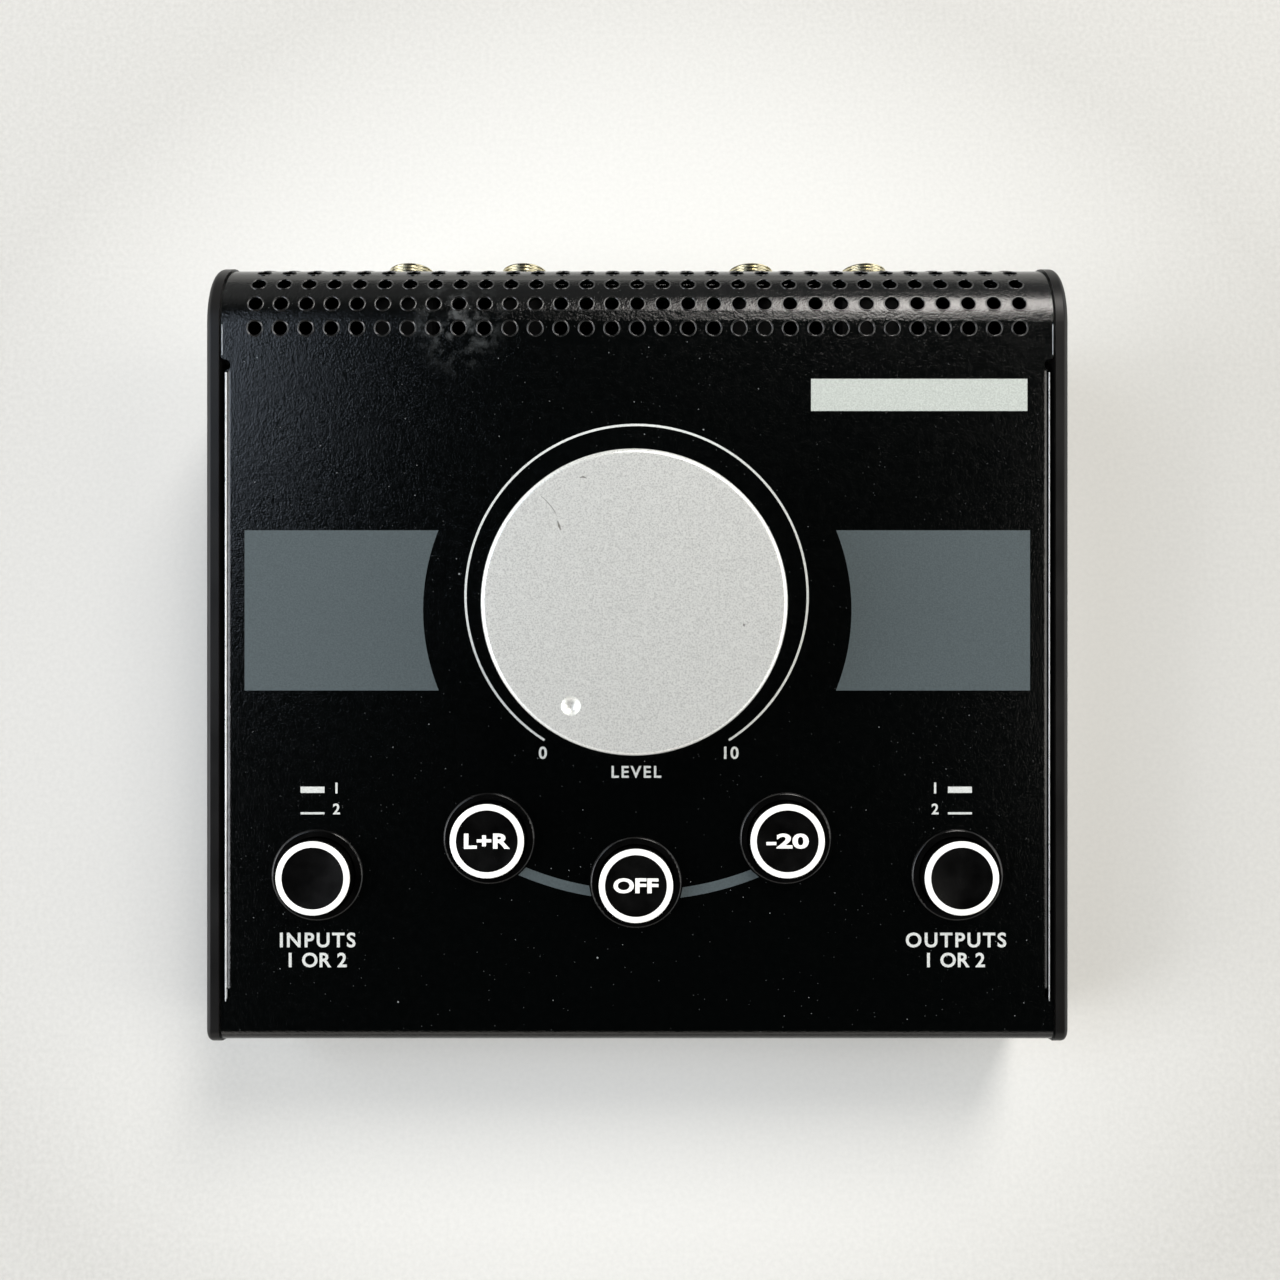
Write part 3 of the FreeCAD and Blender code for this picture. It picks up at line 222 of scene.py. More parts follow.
def lettering(words, height, weight, width=None, spacing=1.0):
    """Words as a flat closed mesh, centred, with a given height of its capitals."""
    curve = bpy.data.curves.new("words", "FONT")
    curve.body = words
    curve.extrude = 0.5
    curve.offset = weight
    curve.space_character = spacing
    curve.resolution_u = 4
    text = add_object("words", curve)
    mesh = evaluated_mesh(text)
    bm = bmesh.new()
    bm.from_mesh(mesh)
    bpy.data.objects.remove(text)
    bpy.data.curves.remove(curve)
    bpy.data.meshes.remove(mesh)
    bmesh.ops.remove_doubles(bm, verts=bm.verts, dist=1e-5)
    xs = [vert.co.x for vert in bm.verts]
    ys = [vert.co.y for vert in bm.verts]
    scale = height / (max(ys) - min(ys))
    scale_x = width / (max(xs) - min(xs)) if width else scale
    for vert in bm.verts:
        vert.co.x = (vert.co.x - (max(xs) + min(xs)) / 2) * scale_x
        vert.co.y = (vert.co.y - (max(ys) + min(ys)) / 2) * scale
        vert.co.z = (vert.co.z + 0.5) * INK
    return bm


# Material helpers

def per(size):
    """The scale of a pattern whose features are this many metres across."""
    return 1 / size


def add_node(tree, kind, settings, links=None):
    """Add a node to a tree, set its properties and sockets, and link its inputs."""
    node = tree.nodes.new(kind)
    for key, value in settings.items():
        if isinstance(key, str) and hasattr(node, key):
            setattr(node, key, value)
        else:
            node.inputs[key].default_value = value
    for key, source in (links or {}).items():
        tree.links.new(source, node.inputs[key])
    return node


def new_material(name):
    """An empty material with its output, its shader and the object's coordinates."""
    material = bpy.data.materials.new(name)
    material.use_nodes = True
    tree = material.node_tree
    tree.nodes.clear()
    shader = add_node(tree, "ShaderNodeBsdfPrincipled", {})
    add_node(tree, "ShaderNodeOutputMaterial", {}, {"Surface": shader.outputs["BSDF"]})
    place = add_node(tree, "ShaderNodeTexCoord", {}).outputs["Object"]
    return material, tree, shader, place


def set_input(tree, socket, source):
    """Set a socket to a constant, or link it to another socket."""
    if isinstance(source, bpy.types.NodeSocket):
        tree.links.new(source, socket)
    else:
        socket.default_value = source


def finish(tree, shader, base, rough, specular=None, metallic=None):
    """Set the shader's colour, roughness, specular level and share of metal."""
    inputs = {"Base Color": base, "Roughness": rough, "Specular IOR Level": specular, "Metallic": metallic}
    for name, source in inputs.items():
        if source is not None:
            set_input(tree, shader.inputs[name], source)


def darker(base, share):
    """A colour made darker, with full alpha."""
    return tuple(channel * share for channel in base[:3]) + (1.0,)


def noise(tree, place, size, detail=2.0, roughness=0.5):
    """A cloudy value between 0 and 1 with features of one size."""
    settings = {"Scale": per(size), "Detail": detail, "Roughness": roughness}
    return add_node(tree, "ShaderNodeTexNoise", settings, {"Vector": place}).outputs["Fac"]


def spread(tree, value, from_low, from_high, to_low, to_high):
    """Stretch a value from one range to another, held at its ends."""
    settings = {"From Min": from_low, "From Max": from_high, "To Min": to_low, "To Max": to_high}
    return add_node(tree, "ShaderNodeMapRange", settings, {"Value": value}).outputs["Result"]


def blend_colours(tree, factor, first, second):
    """Mix two colours, either of them a value or a socket."""
    node = add_node(tree, "ShaderNodeMix", {"data_type": "RGBA"})
    tree.links.new(factor, node.inputs[0])
    set_input(tree, node.inputs[6], first)
    set_input(tree, node.inputs[7], second)
    return node.outputs[2]


def combine(tree, operation, first, second):
    """One step of arithmetic on two values, the second a number or a socket."""
    node = add_node(tree, "ShaderNodeMath", {"operation": operation}, {0: first})
    set_input(tree, node.inputs[1], second)
    return node.outputs[0]


def roughen(tree, shader, height, strength, depth):
    """Give the surface relief from a height value."""
    settings = {"Strength": strength, "Distance": depth}
    bump = add_node(tree, "ShaderNodeBump", settings, {"Height": height})
    tree.links.new(bump.outputs["Normal"], shader.inputs["Normal"])


def specks(tree, place, spacing, size, share):
    """A mask of small dots, one at most in each cell, in a share of the cells."""
    cells = add_node(tree, "ShaderNodeTexVoronoi", {"Scale": per(spacing)}, {"Vector": place})
    near = spread(tree, cells.outputs["Distance"], size * 0.6, size, 1, 0)
    parts = add_node(tree, "ShaderNodeSeparateColor", {}, {"Color": cells.outputs["Color"]})
    chosen = combine(tree, "GREATER_THAN", parts.outputs["Red"], 1 - share)
    return combine(tree, "MULTIPLY", near, chosen)


# Materials

def powder_coat(name, base, dust_and_highlight):
    """Semi-gloss black powder coat on steel: a fine grain over a shallow orange peel, with dust on it and a
    lighter painted highlight patch on the rear bend.
    """
    material, tree, shader, place = new_material(name)
    grain = noise(tree, place, 0.42 * MM, 2.0, 0.6)
    peel = noise(tree, place, 1.6 * MM, 2.0)
    height = combine(tree, "ADD", grain, combine(tree, "MULTIPLY", peel, 0.6))
    roughen(tree, shader, height, 1.0, 0.06 * MM)
    tint = base
    gloss = spread(tree, peel, 0.3, 0.7, 0.12, 0.17)
    if dust_and_highlight:
        dust = specks(tree, place, 3.1 * MM, 0.045, 0.5)
        lint = specks(tree, place, 9.0 * MM, 0.03, 0.6)
        fine = combine(tree, "MULTIPLY", specks(tree, place, 1.3 * MM, 0.1, 0.3), 0.25)
        dust = combine(tree, "MAXIMUM", combine(tree, "MAXIMUM", dust, lint), fine)
        tint = blend_colours(tree, dust, tint, linear("#868A8A"))
        # Painted highlight: a lighter grey patch on the left of the rear bend, where the bend catches the
        # light; the coat there is also made duller.
        highlight_patch = scuffed(tree, place, PANEL @ Vector((-41 * MM, 73 * MM, 0)), 13 * MM)
        tint = blend_colours(tree, highlight_patch, tint, linear("#4A4D4D"))
        gloss = combine(tree, "ADD", gloss, combine(tree, "MULTIPLY", highlight_patch, 0.4))
    finish(tree, shader, tint, gloss, 0.6)
    return material


def scuffed(tree, place, middle, reach):
    """A mask for one patch of painted highlight with ragged edges."""
    apart = add_node(tree, "ShaderNodeVectorMath", {"operation": "DISTANCE", 1: middle}, {0: place})
    near = spread(tree, apart.outputs["Value"], 0.2 * reach, reach, 1, 0)
    ragged = spread(tree, noise(tree, place, 3.5 * MM, 5.0, 0.65), 0.48, 0.75, 0, 0.8)
    return combine(tree, "MULTIPLY", near, ragged)


def bare_edge(name, base):
    """Powder coat drawn thin and glossy over the rounded edge of a punched hole."""
    material, tree, shader, place = new_material(name)
    wear = noise(tree, place, 1.4 * MM, 2.0)
    tint = blend_colours(tree, spread(tree, wear, 0.4, 0.7, 0, 1), base, linear("#161717"))
    finish(tree, shader, tint, 0.08, 0.8)
    return material


def moulded_side(name, base):
    """ABS moulded in a spark-eroded tool: a satin skin with a very fine even grain."""
    material, tree, shader, place = new_material(name)
    grain = noise(tree, place, 0.3 * MM, 2.0)
    smear = noise(tree, place, 14 * MM, 3.0)
    roughen(tree, shader, grain, 0.15, 0.03 * MM)
    tint = blend_colours(tree, smear, base, linear("#11100F"))
    finish(tree, shader, tint, spread(tree, smear, 0.3, 0.7, 0.3, 0.42), 0.25)
    return material


def printed_ink(name, base, rough=0.5):
    """Screen-printed ink over powder coat: flat colour that lets the coat's grain show a little."""
    material, tree, shader, place = new_material(name)
    grain = noise(tree, place, 0.35 * MM, 2.0, 0.6)
    tint = blend_colours(tree, spread(tree, grain, 0.35, 0.65, 0, 1), darker(base, 0.76), base)
    roughen(tree, shader, grain, 0.3, 0.06 * MM)
    finish(tree, shader, tint, rough, 0.3)
    return material


def blasted_aluminium(name, base):
    """Aluminium, bead blasted and clear anodised: a pale even metal with a fine frosty grain."""
    material, tree, shader, place = new_material(name)
    frost = noise(tree, place, 0.36 * MM, 3.0, 0.75)
    tint = blend_colours(tree, spread(tree, frost, 0.36, 0.56, 0, 1), darker(base, 0.7), base)
    roughen(tree, shader, frost, 0.2, 0.03 * MM)
    finish(tree, shader, tint, spread(tree, frost, 0.3, 0.7, 0.3, 0.36), metallic=0.55)
    return material


def plated_metal(name, base, rough):
    """Turned or pressed metal with a thin bright plating: fine tool lines and a few dull patches."""
    material, tree, shader, place = new_material(name)
    patch = noise(tree, place, 2.5 * MM, 3.0)
    lines = noise(tree, place, 0.25 * MM, 1.0)
    tint = blend_colours(tree, spread(tree, patch, 0.35, 0.7, 0, 1), darker(base, 0.7), base)
    roughen(tree, shader, lines, 0.1, 0.02 * MM)
    finish(tree, shader, tint, spread(tree, patch, 0.3, 0.7, rough, rough + 0.15), metallic=1.0)
    return material


def moulded_plastic(name, base, rough, grain_size=0.35 * MM, shine=0.5):
    """Injection-moulded plastic: one colour through and through, with the tool's fine texture."""
    material, tree, shader, place = new_material(name)
    grain = noise(tree, place, grain_size, 2.0)
    wide = noise(tree, place, 6 * MM, 2.0)
    lighter = tuple(min(1, channel * 1.25 + 0.002) for channel in base[:3]) + (1.0,)
    tint = blend_colours(tree, spread(tree, wide, 0.3, 0.7, 0, 1), base, lighter)
    roughen(tree, shader, grain, 0.12, 0.03 * MM)
    finish(tree, shader, tint, spread(tree, wide, 0.3, 0.7, rough, rough + 0.08), shine)
    return material


def foot_rubber(name, base):
    """Moulded rubber: dull, with a bloom of dust."""
    material, tree, shader, place = new_material(name)
    bloom = noise(tree, place, 3 * MM, 4.0)
    tint = blend_colours(tree, spread(tree, bloom, 0.4, 0.75, 0, 0.6), base, linear("#3A3A38"))
    roughen(tree, shader, bloom, 0.2, 0.05 * MM)
    finish(tree, shader, tint, 0.85)
    return material


def board_laminate(name, base):
    """Glass-fibre laminate under green solder mask: glossy, with its copper tracks showing through."""
    material, tree, shader, place = new_material(name)
    tracks = add_node(tree, "ShaderNodeTexBrick", {
        "Scale": per(4 * MM), "Mortar Size": 0.05, "Color1": (1, 1, 1, 1), "Color2": (0.8, 0.8, 0.8, 1),
        "Mortar": (0, 0, 0, 1)}, {"Vector": place})
    weave = noise(tree, place, 0.8 * MM, 2.0)
    factor = combine(tree, "MULTIPLY", tracks.outputs["Fac"], 0.6)
    tint = blend_colours(tree, factor, base, linear("#2F8A4E"))
    roughen(tree, shader, weave, 0.1, 0.03 * MM)
    finish(tree, shader, tint, 0.3)
    return material


def ribbed_insulation(name, base):
    """Extruded flat cable: side by side cores under one dull skin, with painted shade in the grooves between
    them.
    """
    material, tree, shader, place = new_material(name)
    pitch = 1.27 * MM
    cores = add_node(tree, "ShaderNodeTexWave", {"Scale": per(pitch) / (2 * math.pi), "wave_type": "BANDS"},
                     {"Vector": place})
    # Painted shade: the grooves between the cores are coloured darker.
    tint = blend_colours(tree, cores.outputs["Fac"], darker(base, 0.6), base)
    roughen(tree, shader, cores.outputs["Fac"], 0.4, 0.2 * MM)
    finish(tree, shader, tint, 0.6)
    return material


def studio_floor(name, base):
    """A matt painted table top, pale and plain, with painted shade that makes it greyer away from the unit.
    """
    material, tree, shader, place = new_material(name)
    grain = noise(tree, place, 1.2 * MM, 3.0)
    apart = add_node(tree, "ShaderNodeVectorMath", {"operation": "LENGTH"}, {0: place}).outputs["Value"]
    # Painted shade: the table darkens towards the edges of the view, away from the unit.
    painted_falloff = spread(tree, apart, 90 * MM, 210 * MM, 0, 1)
    tint = blend_colours(tree, painted_falloff, base, linear("#C3C2BE"))
    tint = blend_colours(tree, spread(tree, grain, 0.3, 0.7, 0, 0.15), tint, linear("#FBFAF6"))
    roughen(tree, shader, grain, 0.15, 0.05 * MM)
    finish(tree, shader, tint, 0.8, 0.2)
    return material


def dress(material, *names):
    """Give construction nodes a finish."""
    for name in names:
        for slot in frame["nodes"][name].material_slots:
            slot.material = material


# Settings

class CaseSettings(bpy.types.PropertyGroup):
    """Case finish and its vents"""
    coat: colour("Powder coat", "Colour of the coat on the cover and the tray", "#020303")
    cheek: colour("Side panels", "Colour of the moulded side panels", "#0A0A0A")
    vent_radius: length("Vent radius", "Radius of one round vent", 1.75)
    vent_pitch: length("Vent pitch", "Distance between vents both ways", 5.86)
    vent_columns: IntProperty(name="Vent columns", description="Vents across the case", default=31, min=1)
    vent_rows: IntProperty(name="Vent rows", description="Rows round the rear bend", default=5, min=1)
    vent_first: length("First row", "First row, from the start of the rear bend", -1.4)
    rim: length("Rim thickness", "Radius of the rounded paint edge of a vent", 0.22)
    bend_radius: length("Rear bend", "Outer radius of the rear bend", 15.4)


class PrintSettings(bpy.types.PropertyGroup):
    """Prints on the panel"""
    ink: colour("White ink", "Colour of the lettering and the fine lines", "#D6D9D6")
    strip_ink: colour("Strip ink", "Colour of the blank write-on strip", "#C0C6C0")
    slate: colour("Slate ink", "Colour of the two blocks and the curved band", "#4E585B")
    arc_radius: length("Arc radius", "Radius of the fine arc round the knob", 39.3)
    arc_width: length("Arc width", "Width of the fine arc", 0.52)
    arc_x: length("Arc centre x", "Place of the arc's centre across the panel", -0.16)
    arc_t: length("Arc centre t", "Place of the arc's centre up the panel", 10.1)
    arc_half: angle("Arc half angle", "Angle from the top of the arc to each end", 147.4)
    block_x: length("Block edge", "Distance of the blocks' outer edges from the middle", 90.2)
    block_low: length("Block bottom", "Lower edge of the blocks up the panel", -11.6)
    block_high: length("Block top", "Upper edge of the blocks up the panel", 25.2)
    block_radius: length("Block hollow", "Radius of the blocks' hollow inner edges", 49.2)
    block_arc_t: length("Block arc centre t", "Centre of the hollow edges up the panel", 6.9)
    band_x: length("Band centre x", "Centre of the curved band across the panel", 0.9)
    band_t: length("Band centre t", "Centre of the curved band up the panel", 12.0)
    band_radius: length("Band radius", "Radius of the curved band", 70.6)
    band_width: length("Band width", "Width of the curved band", 2.3)
    band_gap: length("Band gap", "Distance of the band's ends from the buttons' middles", 10.8)


class KnobSettings(bpy.types.PropertyGroup):
    """Volume knob"""
    metal: colour("Aluminium", "Colour of the blasted aluminium", "#F8F9F5")
    radius: length("Radius", "Radius of the knob", 32.75)
    top: length("Top", "Height of the knob's top above the panel", 22)
    bottom: length("Bottom", "Height of the knob's lower edge above the panel", 1.2)
    wall: length("Wall", "Thickness of the knob's wall and roof", 2.5)
    rounding: length("Rounding", "Radius of the rounded top edge", 1.0)
    dimple_radius: length("Dimple radius", "Radius of the pointer dimple", 2.1)
    dimple_depth: length("Dimple depth", "Depth of the pointer dimple", 0.95)
    dimple_reach: length("Dimple place", "Distance of the dimple from the knob's axis", 25.9)
    dimple_angle: angle("Dimple angle", "Angle of the dimple to the left of straight down", 31.4)


class ButtonSettings(bpy.types.PropertyGroup):
    """Push buttons"""
    plastic: colour("Cap", "Colour of the caps", "#020202")
    ring_ink: colour("Ring", "Colour of the bright ring on each cap", "#FBFAF3")
    ring_outer: length("Ring outside", "Outer radius of the bright ring", 8.38)
    ring_inner: length("Ring inside", "Inner radius of the bright ring", 7.0)
    cap_radius: length("Cap radius", "Radius of a cap", 8.45)
    cap_top: length("Cap top", "Height of the caps above the panel", 4.8)
    dish: length("Dish", "Depth of the hollow in a cap's top", 0.45)
    select_x: length("Select x", "Distance of the select buttons from the middle", 73.4)
    select_t: length("Select t", "Place of the select buttons up the panel", -53.9)
    round_x: length("Round x", "Distance of the outer round buttons from the middle", 34.0)
    round_t: length("Round t", "Place of the outer round buttons up the panel", -45.5)
    mute_x: length("Mute x", "Place of the middle round button across the panel", -0.3)
    mute_t: length("Mute t", "Place of the middle round button up the panel", -55.6)


class JackSettings(bpy.types.PropertyGroup):
    """Rear jacks"""
    nickel: colour("Nickel", "Colour of the plated jack parts", "#DCD4B4")
    bore: length("Bore", "Radius of the plug hole", 3.25)
    thread: length("Thread", "Crest radius of the nose's thread", 5.6)
    thread_depth: length("Thread depth", "Depth of the thread", 0.22)
    thread_pitch: length("Thread pitch", "Pitch of the thread", 0.8)


class StageSettings(bpy.types.PropertyGroup):
    """Camera, floor and lights"""
    floor: colour("Floor", "Colour of the table", "#ECECE9")
    camera_height: length("Camera distance", "Distance of the lens from the panel", 294.5)
    camera_x: length("Camera x", "Place of the camera across the panel", 0.62)
    lens: FloatProperty(name="Lens", description="Focal length in millimetres", default=36.06)


# Pieces

def button_place(settings, name):
    """Place of a button on the panel, as (x, t)."""
    places = {
        "source_select": (-settings.select_x, settings.select_t),
        "monitor_select": (settings.select_x, settings.select_t),
        "mono": (-settings.round_x, settings.round_t),
        "dim": (settings.round_x, settings.round_t),
        "mute": (settings.mute_x, settings.mute_t),
    }
    return places[name]


def vent_rim_tree(material):
    """Nodes that set a small ring on every vent, along the panel's end and round the rear bend."""
    tree = bpy.data.node_groups.new("Vent rims", "GeometryNodeTree")
    sockets = {}
    for name in ("Columns", "Rows", "Pitch", "First", "Bend", "Vent", "Rim", "Slope"):
        kind = "NodeSocketInt" if name in ("Columns", "Rows") else "NodeSocketFloat"
        sockets[name] = tree.interface.new_socket(name, in_out="INPUT", socket_type=kind).identifier
    tree.interface.new_socket("Geometry", in_out="OUTPUT", socket_type="NodeSocketGeometry")
    given = tree.nodes.new("NodeGroupInput").outputs

    def step(operation, first, second=None):
        """One step of arithmetic on two sockets or numbers."""
        node = add_node(tree, "ShaderNodeMath", {"operation": operation})
        for place, source in enumerate((first, second)):
            if source is not None:
                set_input(tree, node.inputs[place], source)
        return node.outputs[0]

    width = step("MULTIPLY", step("SUBTRACT", given["Columns"], 1), given["Pitch"])
    depth = step("MULTIPLY", step("SUBTRACT", given["Rows"], 1), given["Pitch"])
    grid = add_node(tree, "GeometryNodeMeshGrid", {}, {
        "Size X": width, "Size Y": depth, "Vertices X": given["Columns"], "Vertices Y": given["Rows"]})
    spot = add_node(tree, "ShaderNodeSeparateXYZ", {}, {
        "Vector": add_node(tree, "GeometryNodeInputPosition", {}).outputs[0]})
    along = step("ADD", step("ADD", spot.outputs["Y"], step("MULTIPLY", depth, 0.5)), given["First"])
    flat = step("MINIMUM", along, 0.0)
    turn = step("SUBTRACT", step("ADD", given["Slope"], math.pi / 2),
                step("DIVIDE", step("MAXIMUM", along, 0.0), given["Bend"]))
    across = step("ADD", step("MULTIPLY", step("COSINE", turn), given["Bend"]),
                  step("MULTIPLY", step("COSINE", given["Slope"]), flat))
    upright = step("ADD", step("MULTIPLY", step("SINE", turn), given["Bend"]),
                   step("MULTIPLY", step("SINE", given["Slope"]), flat))
    lean = add_node(tree, "ShaderNodeCombineXYZ", {}, {0: step("SUBTRACT", turn, math.pi / 2)})
    keep = add_node(tree, "GeometryNodeStoreNamedAttribute",
                    {"data_type": "FLOAT_VECTOR", "domain": "POINT", "Name": "lean"},
                    {"Geometry": grid.outputs["Mesh"], "Value": lean.outputs[0]})
    bent = add_node(tree, "ShaderNodeCombineXYZ", {}, {
        "X": spot.outputs["X"], "Y": across, "Z": upright})
    wrapped = add_node(tree, "GeometryNodeSetPosition", {}, {
        "Geometry": keep.outputs["Geometry"], "Position": bent.outputs[0]})
    circle = add_node(tree, "GeometryNodeCurvePrimitiveCircle", {"Resolution": 24}, {"Radius": given["Vent"]})
    section = add_node(tree, "GeometryNodeCurvePrimitiveCircle", {"Resolution": 8}, {"Radius": given["Rim"]})
    ring = add_node(tree, "GeometryNodeCurveToMesh", {}, {
        "Curve": circle.outputs["Curve"], "Profile Curve": section.outputs["Curve"]})
    tilt = add_node(tree, "GeometryNodeInputNamedAttribute", {"data_type": "FLOAT_VECTOR", "Name": "lean"})
    rings = add_node(tree, "GeometryNodeInstanceOnPoints", {}, {
        "Points": wrapped.outputs["Geometry"], "Instance": ring.outputs["Mesh"],
        "Rotation": tilt.outputs[0]})
    real = add_node(tree, "GeometryNodeRealizeInstances", {}, {"Geometry": rings.outputs["Instances"]})
    painted = add_node(tree, "GeometryNodeSetMaterial", {"Material": material},
                       {"Geometry": real.outputs["Geometry"]})
    add_node(tree, "NodeGroupOutput", {}, {"Geometry": painted.outputs["Geometry"]})
    return tree, sockets


def run_tree(name, tree, sockets, values, base=None):
    """Run a node tree on an object and return the plain mesh that it makes."""
    holder = add_object(name, base or bpy.data.meshes.new(name))
    modifier = holder.modifiers.new(name, "NODES")
    modifier.node_group = tree
    for key, value in values.items():
        modifier[sockets[key]] = value
    mesh = evaluated_mesh(holder)
    holder.modifiers.remove(modifier)
    bpy.data.objects.remove(holder)
    return mesh


class CONTROLLER_OT_case(bpy.types.Operator):
    """Finish the cover, the tray, the side panels, their screws and the feet"""
    bl_idname = "controller.case"
    bl_label = "Case"

    def execute(self, context):
        settings = context.scene.controller_case
        coat = powder_coat("Black powder coat on steel", settings.coat[:], True)
        dress(coat, "top_cover")
        dress(powder_coat("Black powder coat, clean", settings.coat[:], False), "base_tray")
        dress(moulded_side("Moulded ABS side", settings.cheek[:]), "left_cheek", "right_cheek")
        dress(plated_metal("Blackened screw steel", linear("#2A2A2B"), 0.35), "cheek_screws")
        dress(foot_rubber("Black foot rubber", linear("#171717")), "front_left_foot", "front_right_foot",
              "rear_left_foot", "rear_right_foot")
        # Painted shade: the foot screws are coloured near black, as the inside of the case lies in shade.
        dress(plated_metal("Foot screw steel darkened as painted shade", linear("#1C1C1D"), 0.4), "foot_screws")
        self.add_vent_rims(settings)
        self.add_worn_edges()
        return {"FINISHED"}

    def add_worn_edges(self):
        """Bright steel strips on the cover's folded side edges: painted highlights where the bends catch the
        light, thicker on the left, where that highlight is stronger.
        """
        # Painted highlight: bright metal laid along the bends, thicker on the left where the light catches
        # them more.
        highlight_steel = plated_metal("Bright steel edge as painted highlight", linear("#D2D4D4"), 0.25)
        proud = 0.03 * MM
        edges = (
            ("left_edge", -94.8, -83.0, 61.5, 0.3), ("left_rear_edge", -95.6, 65.5, 72.5, 0.25),
            ("right_edge", 94.8, -83.0, 61.5, 0.15), ("right_rear_edge", 95.6, 65.5, 72.5, 0.15),
        )
        for name, x, start, end, thick in edges:
            radius = thick * MM
            rod = lathe([(0, start * MM), (radius, start * MM), (radius, end * MM), (0, end * MM)], 16)
            inset = math.copysign(radius - proud, x)
            place = PANEL @ Matrix.Translation((x * MM - inset, 0, proud - radius))
            add_piece(name, rod, place @ Matrix.Rotation(-math.pi / 2, 4, "X"), highlight_steel, "root",
                      1.2)

    def add_vent_rims(self, settings):
        """Round the painted edge of every vent."""
        rim_coat = bare_edge("Powder coat at vent edges", linear("#060606"))
        tree, sockets = vent_rim_tree(rim_coat)
        centre_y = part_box("top_cover")[1].y - settings.bend_radius
        start = PANEL_ZERO + UPHILL * ((centre_y - PANEL_ZERO.y) / UPHILL.y)
        centre_z = start.z - settings.bend_radius / NORMAL.z
        mesh = run_tree("vent_rims", tree, sockets, {
            "Columns": settings.vent_columns, "Rows": settings.vent_rows, "Pitch": settings.vent_pitch,
            "First": settings.vent_first, "Bend": settings.bend_radius - settings.rim * 0.7,
            "Vent": settings.vent_radius + settings.rim * 0.2, "Rim": settings.rim, "Slope": SLOPE})
        mesh.transform(Matrix.Translation((0, centre_y, centre_z)))
        add_mesh_piece("vent_rims", mesh, rim_coat, "root", smooth=1.2)


